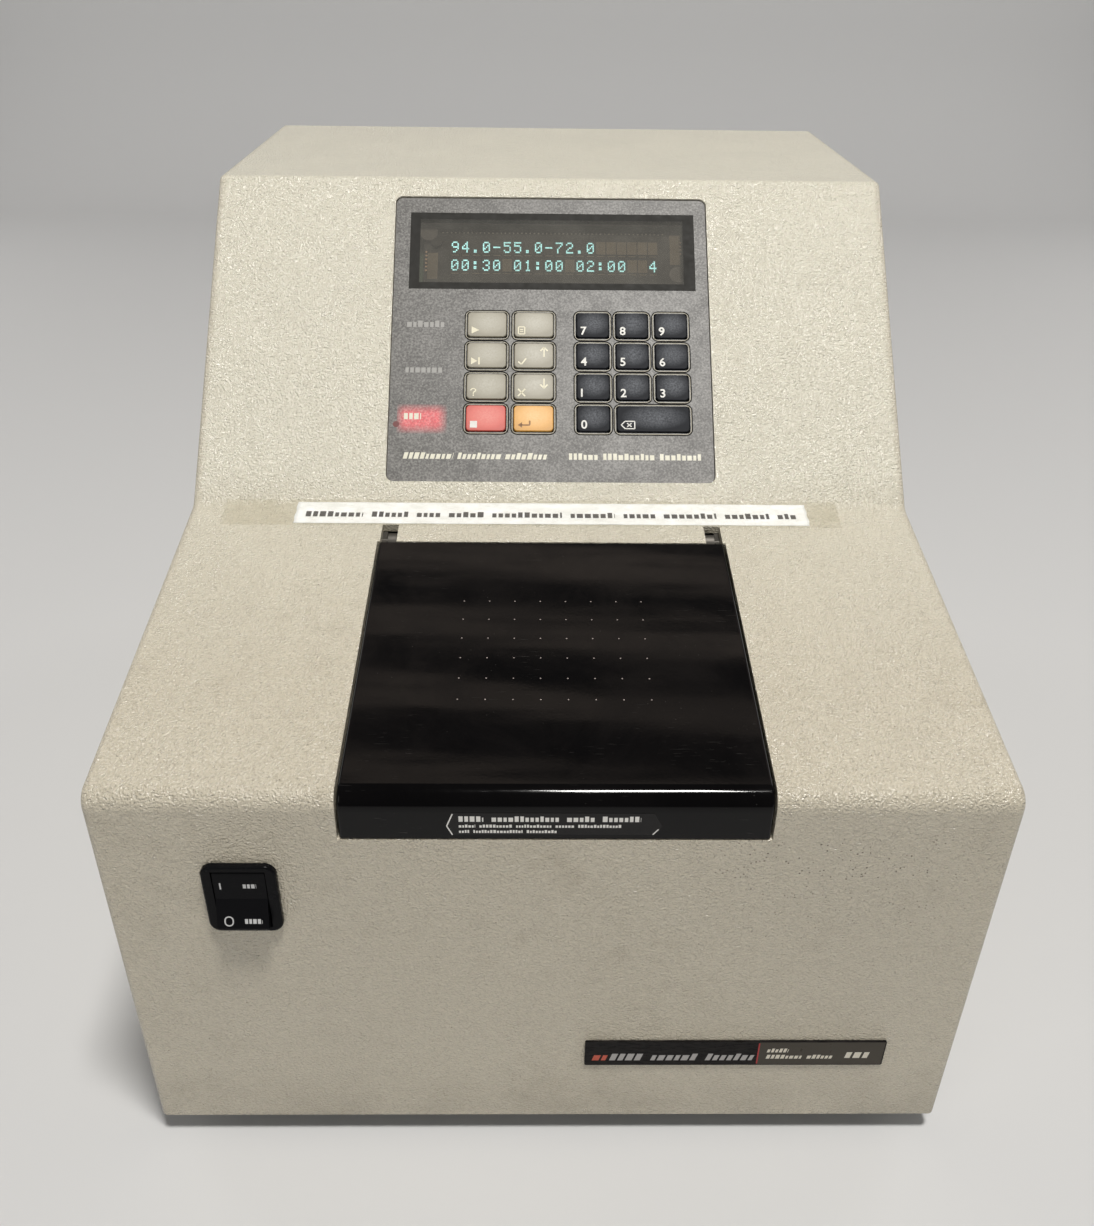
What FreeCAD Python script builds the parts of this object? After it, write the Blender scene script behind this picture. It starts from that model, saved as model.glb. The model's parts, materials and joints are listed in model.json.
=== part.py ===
"""Bench-top thermal cycler with a sloping deck, a hinged sample lid and a tilted keypad console.

Millimetres, +Z up, +X to the operator's right, +Y away from the operator.
The origin is the middle of the overall length and width, on the surface that the feet stand on.
Two tilted frames are used beside the world frame: "deck" starts at the front top edge and runs
up the sloping deck; "console" starts where the console rises from the deck.
In both, x is across, s runs up the slope and n stands out of the surface.
"""
import FreeCAD, Part
import math
import os
import re

import Sketcher
from FreeCAD import Placement, Rotation, Vector

doc = FreeCAD.newDocument("thermal_cycler")
sheet = doc.addObject("Spreadsheet::Sheet", "dims")

# ---------------------------------------------------------------- driving dimensions
DIMS = {
    # housing
    "body_width": 343.0, "front_height": 183.0, "foot_height": 12.0, "wall": 4.0,
    "deck_length": 180.0, "deck_tilt": 9.4, "console_length": 179.0, "console_tilt": 44.6,
    "top_depth": 170.0, "front_edge_round": 8.0, "brow_round": 4.5, "side_round": 3.0,
    "sheet_metal": 2.0, "fit_gap": 0.4, "pan_flange": 28.0, "panel_inset": 8.0,
    "vent_width": 4.0, "vent_height": 44.0, "vent_pitch": 10.0, "vent_count": 12.0,
    "intake_width": 5.0, "intake_length": 44.0, "intake_pitch_x": 12.0, "intake_pitch_y": 60.0,
    "grille_width": 32.0, "grille_height": 5.0, "grille_pitch_x": 36.0, "grille_pitch_z": 10.0,
    "foot_radius": 9.0, "foot_flare": 11.0, "foot_inset_x": 36.0, "foot_inset_y": 42.0,
    "screw_head": 1.6,
    # lid and its hinge
    "lid_width": 158.8, "lid_length": 150.5, "lid_height": 19.0, "lid_wall": 3.0, "lid_gap": 0.8,
    "lid_lip": 0.7, "lid_undercut": 3.0, "lid_round": 1.2,
    "hinge_s": 158.5, "hinge_n": -5.5, "pin_radius": 1.5, "pin_clearance": 0.05, "slot_end": 164.3,
    "arm_x": 72.0, "arm_width": 4.0, "arm_round": 3.8, "arm_reach": 30.0, "slot_x": 71.4, "slot_width": 7.6,
    "ear_width": 2.2, "foam_height": 12.0, "foam_width": 134.0, "foam_length": 130.0, "plate_height": 1.5,
    # sample block
    "block_s": 79.4, "well_pitch_x": 10.9, "well_pitch_s": 11.9, "well_columns": 8.0, "well_rows": 6.0,
    "well_radius": 3.9, "well_collar": 8.0, "well_depth": 24.0, "well_taper": 3.0,
    "block_margin": 9.0, "block_height": 28.0, "block_top": -30.0, "heater_height": 1.2,
    "clamp_height": 4.0, "clamp_margin": 14.0, "foam_wall": 8.0, "screw_margin": 11.0,
    "screw_radius": 1.5, "post_width": 5.8, "post_height": 10.0, "probe_radius": 1.5, "probe_length": 24.0,
    "seal_width": 5.0, "seal_height": 1.6,
    # keypad console
    "bezel_width": 158.8, "bezel_length": 155.0, "bezel_s": 90.0, "bezel_recess": 1.0,
    "bezel_face": 3.0, "bezel_flange": 2.0, "bezel_lip": 4.0, "bezel_round": 3.5,
    "window_width": 145.2, "window_length": 43.4, "window_x": 0.7, "window_s": 137.4,
    "window_height": 2.0, "window_ledge": 3.0, "prop_radius": 2.6, "prop_inset": 5.0,
    "key_length": 13.5, "function_key_width": 19.4, "digit_key_width": 16.1, "clear_key_width": 35.7,
    "key_proud": 0.9, "key_gap": 0.35, "key_skirt": 0.9, "key_skirt_height": 0.8, "key_round": 2.0,
    "key_travel": 0.6, "board_height": 1.6, "function_x": -32.0, "function_pitch": 23.4,
    "digit_x": 20.8, "digit_pitch": 19.6, "row_s": 45.3, "row_pitch": 16.8,
    "lamp_x": -62.6, "lamp_width": 22.0, "lamp_length": 13.0,
    "lamp_s": 45.0, "lamp_pitch": 24.8,
    # power switch and badge on the front face
    "switch_x": -118.2, "switch_z": 146.4, "switch_width": 28.3, "switch_length": 33.7,
    "switch_proud": 2.4, "switch_round": 4.5, "switch_depth": 20.0, "rocker_width": 19.6,
    "rocker_length": 26.4, "rocker_swing": 10.0, "rocker_depth": 1.7, "rocker_proud": 6.5,
    "switch_lip_x": 1.8, "switch_lip_z": 1.5, "axle_radius": 1.0,
    "blade_width": 6.3, "blade_height": 0.8, "blade_length": 8.0,
    "badge_x": 78.0, "badge_z": 54.6, "badge_width": 127.5, "badge_length": 15.2, "badge_height": 0.8,
    # connectors on the back, and the machinery inside
    "inlet_x": -120.0, "inlet_z": 62.0, "inlet_width": 27.4, "inlet_length": 20.0, "inlet_recess": 16.0,
    "inlet_lip": 2.3, "inlet_flange": 2.4, "inlet_wall": 1.7, "pin_x": 7.0, "pin_z": 2.0,
    "serial_x": -66.0, "serial_z": 60.0, "serial_width": 19.0, "serial_length": 11.0,
    "serial_span": 31.0, "serial_drop": 12.4, "serial_nose_width": 16.4, "serial_nose_drop": 8.2,
    "serial_stud_x": 12.5, "serial_stud_radius": 2.6,
    "fan_size": 119.0, "fan_depth": 25.0, "fan_x": 72.0, "fan_z": 120.0, "fan_bore": 56.5,
    "fan_hub": 21.0, "fan_blades": 7.0, "fan_chord": 17.0, "fan_blade_height": 1.6,
    "fan_blade_pitch": 35.0, "fan_strut": 5.0, "fan_strut_height": 2.5, "fan_axle_radius": 3.0,
    "condenser_depth": 34.0, "fin_pitch": 8.0, "fin_gap": 4.0, "fin_depth": 14.0, "tube_pitch": 30.0,
    "tube_radius": 4.0, "tube_overhang": 9.0,
    "compressor_x": -88.0, "compressor_y": 128.0, "compressor_radius": 58.0, "compressor_height": 128.0,
    "tank_x": -112.0, "tank_y": -8.0, "tank_radius": 40.0, "tank_height": 96.0, "cap_radius": 17.0,
    "pump_x": -34.0, "pump_y": -12.0, "pump_width": 44.0, "pump_depth": 30.0, "motor_radius": 20.0,
    "motor_length": 50.0, "stub_radius": 4.0, "hose_radius": 5.0, "hose_rise": 20.0,
    "core_x": 104.0, "core_y": -60.0, "core_width": 84.0, "core_depth": 54.0, "core_height": 72.0,
    "coil_spacing": 40.0, "coil_width": 26.0, "coil_depth": 74.0, "coil_height": 52.0,
    "supply_x": 88.0, "supply_y": -160.0, "supply_width": 120.0, "supply_length": 84.0,
    "supply_rise": 8.0, "sink_width": 12.0, "sink_height": 30.0, "capacitor_radius": 11.0,
    "capacitor_height": 34.0, "processor_x": 158.0, "processor_y": 38.0, "processor_z": 48.0,
    "processor_length": 170.0, "processor_height": 150.0, "plug_y": 58.0, "plug_height": 14.0,
    "socket_x": 50.0, "socket_width": 40.0, "socket_depth": 7.0, "ribbon_width": 36.0,
    "ribbon_height": 1.0, "ribbon_end": 153.0, "tube_width": 132.0, "tube_length": 35.0,
    "tube_height": 6.5,
}


def slope(name, s, n):
    """World y and z of the point s up the slope and n above it, for the frame called name."""
    tilt = math.radians(DIMS[name + "_tilt"])
    return (DIMS[name + "_y"] + s * math.cos(tilt) - n * math.sin(tilt),
            DIMS[name + "_z"] + s * math.sin(tilt) + n * math.cos(tilt))


def derive():
    """Adds the places that follow from the driving dimensions: the corners of the side profile."""
    d = DIMS
    deck, console = math.radians(d["deck_tilt"]), math.radians(d["console_tilt"])
    depth = d["deck_length"] * math.cos(deck) + d["console_length"] * math.cos(console) + d["top_depth"]
    d["deck_y"], d["deck_z"] = (d["rocker_proud"] - depth) / 2, d["foot_height"] + d["front_height"]
    d["console_y"], d["console_z"] = slope("deck", d["deck_length"], 0)
    d["brow_y"], d["brow_z"] = slope("console", d["console_length"], 0)
    d["back_y"] = (d["rocker_proud"] + depth) / 2
    # the same corners, one wall thickness further in: each lies on the bisector of its corner
    wall = d["wall"]
    d["inner_deck_z"] = d["deck_z"] + wall * (math.tan(deck) - 1 / math.cos(deck))
    d["inner_console_y"] = d["console_y"] + wall * math.tan((console - deck) / 2) * math.cos(deck) \
        + wall * math.sin(deck)
    d["inner_console_z"] = d["console_z"] + wall * math.tan((console - deck) / 2) * math.sin(deck) \
        - wall * math.cos(deck)
    d["inner_brow_y"] = d["brow_y"] + wall * math.tan(console / 2)
    d["block_width"] = d["well_pitch_x"] * (d["well_columns"] - 1) + 2 * d["block_margin"]
    d["block_length"] = d["well_pitch_s"] * (d["well_rows"] - 1) + 2 * d["block_margin"]


derive()
for row, (alias, size) in enumerate(DIMS.items(), 1):
    sheet.set(f"A{row}", alias)
    sheet.set(f"B{row}", repr(round(size, 6)))
    sheet.setAlias(f"B{row}", alias)
doc.recompute()


# ---------------------------------------------------------------- tools
def bound(text):
    """The expression with each dimension written as its cell in the sheet."""
    return re.sub(r"[a-z_]+", lambda m: "dims." + m.group() if m.group() in DIMS else m.group(), str(text))


def number(text):
    return float(sheet.evalExpression(bound(text)))


def place(obj, x="0", y="0", z="0", tilt="0", axis=(1, 0, 0)):
    """Puts obj at a point, turned by tilt about axis, with both bound to the sheet."""
    spot = Vector(number(x), number(y), number(z))
    obj.Placement = Placement(spot, Rotation(Vector(*axis), number(tilt)))
    for name, text in zip("xyz", (x, y, z)):
        obj.setExpression("Placement.Base." + name, bound(text))
    if tilt != "0":
        obj.setExpression("Placement.Rotation.Angle", bound(tilt))
    return obj


def frame_point(frame, s, n):
    """World y and z of a frame's point, written as expressions."""
    return (f"{frame}_y + ({s})*cos({frame}_tilt) - ({n})*sin({frame}_tilt)",
            f"{frame}_z + ({s})*sin({frame}_tilt) + ({n})*cos({frame}_tilt)")


def place_on(frame, obj, x="0", s="0", n="0"):
    """Stands obj on a tilted frame, so that its own z axis points out of the surface."""
    return place(obj, x, *frame_point(frame, s, n), frame + "_tilt")


def new_body(label):
    body = doc.addObject("PartDesign::Body", label)
    body.Label = label
    body.AllowCompound = True
    return body


def new_sketch(body, plane, offset="0", frame=None):
    """An empty sketch on one of the body's own origin planes, offset along the plane's normal.

    With a frame it lies on that tilted frame instead, at height offset above the surface.
    """
    sketch = body.newObject("Sketcher::SketchObject", body.Name + "_sketch")
    support = next(o for o in body.Origin.OriginFeatures if o.Role == plane + "_Plane")
    sketch.AttachmentSupport = [(support, "")]
    sketch.MapMode = "FlatFace"
    if frame is None:
        sketch.setExpression("AttachmentOffset.Base.z", bound(offset))
        return sketch
    sketch.AttachmentOffset = Placement(Vector(), Rotation(Vector(1, 0, 0), DIMS[frame + "_tilt"]))
    for name, text in zip("yz", frame_point(frame, "0", offset)):
        sketch.setExpression("AttachmentOffset.Base." + name, bound(text))
    sketch.setExpression("AttachmentOffset.Rotation.Angle", bound(frame + "_tilt"))
    return sketch


def hold(sketch, kind, name, size, *where):
    """Adds one driving constraint and binds it to the sheet."""
    index = sketch.addConstraint(Sketcher.Constraint(kind, *where, number(size)))
    sketch.renameConstraint(index, name)
    sketch.setExpression("Constraints." + name, bound(size))


def polygon(sketch, points):
    """A closed polygon whose corners are each held at a bound x and y."""
    first = sketch.GeometryCount
    spots = [Vector(number(x), number(y), 0) for x, y in points]
    count = len(spots)
    for i in range(count):
        sketch.addGeometry(Part.LineSegment(spots[i], spots[(i + 1) % count]), False)
    for i in range(count):
        sketch.addConstraint(Sketcher.Constraint("Coincident", first + i, 2, first + (i + 1) % count, 1))
    for i, (x, y) in enumerate(points):
        hold(sketch, "DistanceX", f"across_{first + i}", x, -1, 1, first + i, 1)
        hold(sketch, "DistanceY", f"along_{first + i}", y, -1, 1, first + i, 1)
    return sketch


def rectangle(sketch, x, y, width, length):
    """A rectangle about the centre (x, y)."""
    left, right = f"{x} - ({width})/2", f"{x} + ({width})/2"
    low, high = f"{y} - ({length})/2", f"{y} + ({length})/2"
    return polygon(sketch, [(left, low), (right, low), (right, high), (left, high)])


def circle(sketch, x, y, radius):
    centre = Vector(number(x), number(y), 0)
    index = sketch.addGeometry(Part.Circle(centre, Vector(0, 0, 1), number(radius)))
    hold(sketch, "DistanceX", f"across_{index}", x, -1, 1, index, 3)
    hold(sketch, "DistanceY", f"along_{index}", y, -1, 1, index, 3)
    hold(sketch, "Radius", f"radius_{index}", radius, index)
    return sketch


def feature(kind, body, sketch, length, flip=False, both=False, taper="0"):
    made = body.newObject("PartDesign::" + kind, f"{body.Name}_{kind.lower()}")
    made.Profile = sketch
    made.setExpression("Length", bound(length))
    made.Reversed = flip
    if both:
        made.SideType = "Symmetric"
    if taper != "0":
        made.setExpression("TaperAngle", bound(taper))
    before = 0 if body.Shape.isNull() else body.Shape.Volume
    doc.recompute()
    change = made.Shape.Volume - before
    if not made.Shape.isValid() or abs(change) < 1e-3 or (change > 0) != (kind == "Pad"):
        raise RuntimeError(f"{made.Name} changed the volume by {change:.2f}")
    return made


def pad(body, sketch, length, **how):
    return feature("Pad", body, sketch, length, **how)


def pocket(body, sketch, length, **how):
    return feature("Pocket", body, sketch, length, **how)


def pattern(body, originals, plane, steps):
    """Repeats features along the axes of a sketch: steps is [(axis, pitch, count), ...], one or two."""
    made = body.newObject("PartDesign::LinearPattern", body.Name + "_pattern")
    made.Originals = originals
    for suffix, (axis, pitch, count) in zip(("", "2"), steps):
        setattr(made, "Direction" + suffix, (plane, [axis]))
        made.setExpression("Length" + suffix, bound(f"({pitch})*(({count}) - 1)"))
        made.setExpression("Occurrences" + suffix, bound(count))
    body.Tip = made
    doc.recompute()
    return made


def soften(body, radius, pick, kind="Fillet"):
    """Rounds (or bevels) the edges of the body's tip that pick(edge) chooses."""
    base = body.Tip
    chosen = [f"Edge{i}" for i, edge in enumerate(base.Shape.Edges, 1) if pick(edge)]
    if not chosen:
        raise RuntimeError(f"{body.Name}: no edge to soften")
    made = body.newObject("PartDesign::" + kind, f"{body.Name}_{kind.lower()}")
    made.Base = (base, chosen)
    made.setExpression("Radius" if kind == "Fillet" else "Size", bound(radius))
    doc.recompute()
    if not made.Shape.isValid() or made.Shape.isNull():
        raise RuntimeError(f"{made.Name} failed")
    return made


def near(value, target, slack=1e-3):
    return abs(value - target) < slack


def flat_at(edge, axis, target):
    """True if the whole edge lies at one coordinate along the axis."""
    box = edge.BoundBox
    low, high = getattr(box, axis + "Min"), getattr(box, axis + "Max")
    return near(low, target, 1e-2) and near(high, target, 1e-2)


def front_level(offset, n):
    """A point for a side-view sketch: offset behind the front face, on the deck's parallel at level n."""
    return (f"deck_y + {offset}", f"deck_z + ({offset})*tan(deck_tilt) + ({n})/cos(deck_tilt)")


def side_view(frame, s_low, s_high, n_low, n_high):
    """The four corners of a box in a tilted frame, for a sketch on the world YZ plane."""
    return [frame_point(frame, s_low, n_low), frame_point(frame, s_high, n_low),
            frame_point(frame, s_high, n_high), frame_point(frame, s_low, n_high)]


def box(label, x, y, z, width, length, height, frame=None):
    """A Part::Box about the centre x, y and from z upwards, in the world or in a tilted frame."""
    made = doc.addObject("Part::Box", label)
    for name, text in (("Length", width), ("Width", length), ("Height", height)):
        made.setExpression(name, bound(text))
    corner = (f"{x} - ({width})/2", f"{y} - ({length})/2", z)
    return place_on(frame, made, *corner) if frame else place(made, *corner)


def rod(label, x, y, z, radius, height, tilt="0", axis=(1, 0, 0), frame=None):
    """A Part::Cylinder from the centre of its base, along +Z before it is turned."""
    made = doc.addObject("Part::Cylinder", label)
    made.setExpression("Radius", bound(radius))
    made.setExpression("Height", bound(height))
    return place_on(frame, made, x, y, z) if frame else place(made, x, y, z, tilt, axis)


def group(kind, label, members):
    """Joins objects: Part::MultiFuse for one solid, Part::Compound for pieces that stay separate."""
    made = doc.addObject("Part::" + kind, label)
    setattr(made, "Links" if kind == "Compound" else "Shapes", members)
    return made


def cut(label, base, tool):
    made = doc.addObject("Part::Cut", label)
    made.Base, made.Tool = base, tool
    return made


SUBPARTS = []


def keep(obj, label=None):
    """Lists obj as a sub-part to be written, under its label."""
    obj.Label = label or obj.Label
    SUBPARTS.append(obj)
    return obj


# ---------------------------------------------------------------- housing
SIDE_SCREWS = ("deck_y + 40", "20", "back_y - 30")
PANEL_SCREWS = [(x, z) for x in ("-body_width/2 + 16", "0", "body_width/2 - 16")
                for z in ("foot_height + 12", "brow_z - 16")]
BLOCK_CORNERS = [(f"{x}*(block_width/2 + screw_margin)", f"block_s + {y}*(block_length/2 + screw_margin)")
                 for x in (-1, 1) for y in (-1, 1)]
PANEL_FACE = "-back_y + panel_inset"
PAN_TOP = "foot_height + sheet_metal"


def parallel(edge, direction):
    """True for a straight edge along the direction."""
    if len(edge.Vertexes) != 2 or not isinstance(edge.Curve, Part.Line):
        return False
    return abs(edge.Curve.Direction.dot(direction)) > 0.9999


def crease(y, z):
    """Picks the edge across the housing that passes through this point of the side view."""
    return lambda edge: (parallel(edge, Vector(1, 0, 0)) and near(edge.BoundBox.YMin, number(y), 0.01)
                         and near(edge.BoundBox.ZMin, number(z), 0.01))


def outer_form(body):
    """The closed outer form: the side profile drawn across the width, with rounded edges."""
    outline = [("deck_y", "foot_height"), ("deck_y", "deck_z"), ("console_y", "console_z"),
               ("brow_y", "brow_z"), ("back_y", "brow_z"), ("back_y", "foot_height")]
    pad(body, polygon(new_sketch(body, "YZ"), outline), "body_width", both=True)
    soften(body, "front_edge_round", crease("deck_y", "deck_z"))
    soften(body, "brow_round", crease("brow_y", "brow_z"))
    soften(body, "front_edge_round", crease("console_y", "console_z"))
    half, low, back = DIMS["body_width"] / 2, DIMS["foot_height"], DIMS["back_y"]
    soften(body, "side_round", lambda edge: (flat_at(edge, "X", half) or flat_at(edge, "X", -half))
           and not flat_at(edge, "Z", low) and not flat_at(edge, "Y", back))


def lid_well(body):
    """The moulded well that the lid lies in, open in the middle for the sample block."""
    end, floor = "lid_length + lid_gap", "-lid_height - lid_gap"
    under, rear = f"{floor} - wall", f"{end} + wall"
    outside = [front_level("wall/2", under), frame_point("deck", rear, under),
               frame_point("deck", rear, "-wall/2"), front_level("wall/2", "-wall/2")]
    pad(body, polygon(new_sketch(body, "YZ"), outside), "lid_width + 2*lid_gap + 2*wall", both=True)
    inside = side_view("deck", "-3*wall", end, floor, "3*wall")
    pocket(body, polygon(new_sketch(body, "YZ"), inside), "lid_width + 2*lid_gap", both=True)
    aperture = rectangle(new_sketch(body, "XY", f"{floor} + 1", "deck"), "0", "block_s",
                         "block_width + foam_wall", "block_length + foam_wall")
    pocket(body, aperture, "wall + 2")
    for side in ("slot_x", "-slot_x - slot_width"):
        slot = side_view("deck", f"{end} - 1", "slot_end", "hinge_n - 6", "wall")
        pocket(body, polygon(new_sketch(body, "YZ", side), slot), "slot_width", flip=True)
    posts = new_sketch(body, "XY", f"{floor} - wall/2", "deck")
    for x, s in BLOCK_CORNERS:
        rectangle(posts, x, s, "post_width", "post_width")
    pad(body, posts, "wall/2 + post_height", flip=True)
    holes = new_sketch(body, "XY", f"{floor} - wall - post_height - 1", "deck")
    for x, s in BLOCK_CORNERS:
        circle(holes, x, s, "screw_radius")
    pocket(body, holes, "post_height", flip=True)


def console_opening(body):
    """The rounded cut-out for the keypad in the console's face."""
    sketch = rectangle(new_sketch(body, "XY", "wall", "console"), "0", "bezel_s",
                       "bezel_width + 2*fit_gap", "bezel_length + 2*fit_gap")
    pocket(body, sketch, "3*wall")
    edge_x = number("bezel_width/2 + fit_gap")
    tilt = math.radians(DIMS["console_tilt"])
    outward = Vector(0, -math.sin(tilt), math.cos(tilt))
    soften(body, "bezel_round + fit_gap",
           lambda edge: parallel(edge, outward) and near(abs(edge.CenterOfMass.x), edge_x))


def housing_shell():
    """One moulded cover: front, deck, console, top and sides. It is open below and behind."""
    body = new_body("housing_shell")
    outer_form(body)
    hollow = [("deck_y + wall", "0"), ("deck_y + wall", "inner_deck_z"),
              ("inner_console_y", "inner_console_z"), ("inner_brow_y", "brow_z - wall"),
              ("back_y + wall", "brow_z - wall"), ("back_y + wall", "0")]
    pocket(body, polygon(new_sketch(body, "YZ"), hollow), "body_width - 2*wall", both=True)
    lid_well(body)
    console_opening(body)
    switch = rectangle(new_sketch(body, "XZ", "-deck_y + 1"), "switch_x", "switch_z",
                       "switch_width - 3", "switch_length - 2.4")
    pocket(body, switch, "wall + 2")
    vent = rectangle(new_sketch(body, "YZ"), "back_y - 20 - vent_pitch*vent_count", "foot_height + 70",
                     "vent_width", "vent_height")
    slit = pocket(body, vent, "body_width + 2", both=True)
    pattern(body, [slit], vent, [("H_Axis", "vent_pitch", "vent_count")])
    holes = new_sketch(body, "YZ")
    for y in SIDE_SCREWS:
        circle(holes, y, "foot_height + pan_flange/2", "screw_radius")
    pocket(body, holes, "body_width + 2", both=True)
    keep(body)


def base_pan():
    """Folded tray under everything: a floor with intake slots and a flange on each side."""
    body = new_body("base_pan")
    front, rear = "deck_y + wall + fit_gap", "back_y - panel_inset - sheet_metal"
    size = ("body_width - 2*wall - 2*fit_gap", f"{rear} - ({front})")
    middle = ("0", f"({front} + {rear})/2")
    pad(body, rectangle(new_sketch(body, "XY", "foot_height"), *middle, *size), "pan_flange")
    inner = rectangle(new_sketch(body, "XY", "foot_height + sheet_metal"), *middle,
                      f"{size[0]} - 2*sheet_metal", f"{size[1]} - 2*sheet_metal")
    pocket(body, inner, "pan_flange", flip=True)
    slot = rectangle(new_sketch(body, "XY", "foot_height - 1"), "10", "back_y - 150",
                     "intake_width", "intake_length")
    slit = pocket(body, slot, "sheet_metal + 2", flip=True)
    pattern(body, [slit], slot, [("H_Axis", "intake_pitch_x", "10"), ("V_Axis", "intake_pitch_y", "2")])
    taps = new_sketch(body, "YZ")
    for y in SIDE_SCREWS:
        circle(taps, y, "foot_height + pan_flange/2", "screw_radius")
    pocket(body, taps, "body_width", both=True)
    rear_taps = new_sketch(body, "XZ", f"{PANEL_FACE} - 1")
    for x, z in PANEL_SCREWS:
        circle(rear_taps, x, z, "screw_radius")
    pocket(body, rear_taps, "3*sheet_metal + 2", flip=True)
    keep(body)


def rear_panel():
    """Sheet panel in the back opening, with the fan grille and the cut-outs for the connectors."""
    body = new_body("rear_panel")
    outline = rectangle(new_sketch(body, "XZ", PANEL_FACE), "0", "(foot_height + brow_z - wall)/2",
                        "body_width - 2*wall - 2*fit_gap", "brow_z - wall - foot_height - 2*fit_gap")
    pad(body, outline, "sheet_metal")
    cutouts = new_sketch(body, "XZ", f"{PANEL_FACE} - 1")
    rectangle(cutouts, "inlet_x", "inlet_z", "inlet_width + fit_gap", "inlet_length + fit_gap")
    rectangle(cutouts, "serial_x", "serial_z", "serial_width + fit_gap", "serial_length + fit_gap")
    for x, z in PANEL_SCREWS:
        circle(cutouts, x, z, "screw_radius")
    pocket(body, cutouts, "sheet_metal + 2", flip=True)
    slot = rectangle(new_sketch(body, "XZ", f"{PANEL_FACE} - 1"), "fan_x - grille_pitch_x",
                     "fan_z - 4.5*grille_pitch_z", "grille_width", "grille_height")
    slit = pocket(body, slot, "sheet_metal + 2", flip=True)
    pattern(body, [slit], slot, [("H_Axis", "grille_pitch_x", "3"), ("V_Axis", "grille_pitch_z", "10")])
    keep(body)


def feet():
    """Four rubber feet under the pan."""
    cones = []
    for x in ("-body_width/2 + foot_inset_x", "body_width/2 - foot_inset_x"):
        for y in ("deck_y + foot_inset_y", "back_y - foot_inset_y"):
            cone = doc.addObject("Part::Cone", "foot")
            cone.setExpression("Radius1", bound("foot_radius"))
            cone.setExpression("Radius2", bound("foot_flare"))
            cone.setExpression("Height", bound("foot_height"))
            cones.append(place(cone, x, y, "0"))
    keep(group("Compound", "feet", cones))


def screw(label, x, y, z, tilt, axis, length):
    """A pan-head screw. Its head stands on (x, y, z) and its shank runs the other way."""
    head = rod(label + "_head", x, y, z, "2*screw_radius", "screw_head", tilt, axis)
    back = {(1, 0, 0): ("0", length, "0"), (0, 1, 0): (f"-({tilt})/abs({tilt})*{length}", "0", "0")}[axis]
    shank = rod(label + "_shank", f"{x} + {back[0]}", f"{y} - ({back[1]})", z, "screw_radius",
                length, tilt, axis)
    return group("MultiFuse", label, [head, shank])


def case_screws():
    """Pan-head screws: three through each side into the pan, and six round the rear panel."""
    screws = []
    for y in SIDE_SCREWS:
        for sign in (-1, 1):
            screws.append(screw("side_screw", f"{sign}*body_width/2", y, "foot_height + pan_flange/2",
                                f"{90*sign}", (0, 1, 0), "7"))
    for x, z in PANEL_SCREWS:
        screws.append(screw("panel_screw", x, "back_y - panel_inset", z, "-90", (1, 0, 0), "6"))
    keep(group("Compound", "case_screws", screws))


def badge():
    """Thin name strip stuck low on the front face."""
    body = new_body("badge")
    outline = rectangle(new_sketch(body, "XZ", "-deck_y"), "badge_x", "badge_z", "badge_width",
                        "badge_length")
    pad(body, outline, "badge_height")
    soften(body, "0.8", lambda edge: parallel(edge, Vector(0, 1, 0)))
    keep(body)


# ---------------------------------------------------------------- lid
def lid_cover():
    """Moulded lid, hollow underneath. Its front face continues the housing's front.

    The rear is cut back under a thin lip, so that it clears the well's edge as the lid swings up.
    """
    body = new_body("lid_cover")
    rear = "lid_length - lid_undercut"
    outline = [front_level("0", "-lid_height"), frame_point("deck", rear, "-lid_height"),
               frame_point("deck", rear, "-lid_lip - lid_undercut"),
               frame_point("deck", "lid_length", "-lid_lip"), frame_point("deck", "lid_length", "0"),
               ("deck_y", "deck_z")]
    pad(body, polygon(new_sketch(body, "YZ"), outline), "lid_width", both=True)
    soften(body, "front_edge_round", crease("deck_y", "deck_z"))
    half = DIMS["lid_width"] / 2
    low = -DIMS["lid_height"] + 0.5

    def rim(edge):
        middle = edge.CenterOfMass
        offset = middle.sub(Vector(0, DIMS["deck_y"], DIMS["deck_z"]))
        tilt = math.radians(DIMS["deck_tilt"])
        level = offset.z * math.cos(tilt) - offset.y * math.sin(tilt)
        along = offset.y * math.cos(tilt) + offset.z * math.sin(tilt)
        beside = flat_at(edge, "X", half) or flat_at(edge, "X", -half)
        return beside and level > low and along < number(rear) - 1
    soften(body, "lid_round", rim)
    back = f"{rear} - lid_wall"
    hollow = [front_level("lid_wall", "-lid_height - 2"), frame_point("deck", back, "-lid_height - 2"),
              frame_point("deck", back, "-lid_wall"), front_level("lid_wall", "-lid_wall")]
    pocket(body, polygon(new_sketch(body, "YZ"), hollow), "lid_width - 2*lid_wall", both=True)
    for side in ("arm_x - fit_gap", "-arm_x - arm_width - fit_gap"):
        notch = side_view("deck", f"{back} - 1", "lid_length + 1", "-lid_height - 1", "-lid_wall")
        pocket(body, polygon(new_sketch(body, "YZ", side), notch), "arm_width + 2*fit_gap", flip=True)
    keep(body)


def lid_foam():
    """Block of insulation glued under the lid."""
    keep(box("lid_foam", "0", "lid_length/2", "-lid_wall - foam_height", "foam_width", "foam_length",
             "foam_height", "deck"))


def lid_pressure_plate():
    """Aluminium plate under the foam that presses on the tube caps."""
    body = new_body("lid_pressure_plate")
    place_on("deck", body)
    sketch = new_sketch(body, "XY", "-lid_wall - foam_height")
    pad(body, rectangle(sketch, "0", "lid_length/2", "foam_width - 4", "foam_length - 4"),
        "plate_height", flip=True)
    soften(body, "5", lambda edge: parallel(edge, Vector(0, 0, 1)))
    keep(body)


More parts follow.
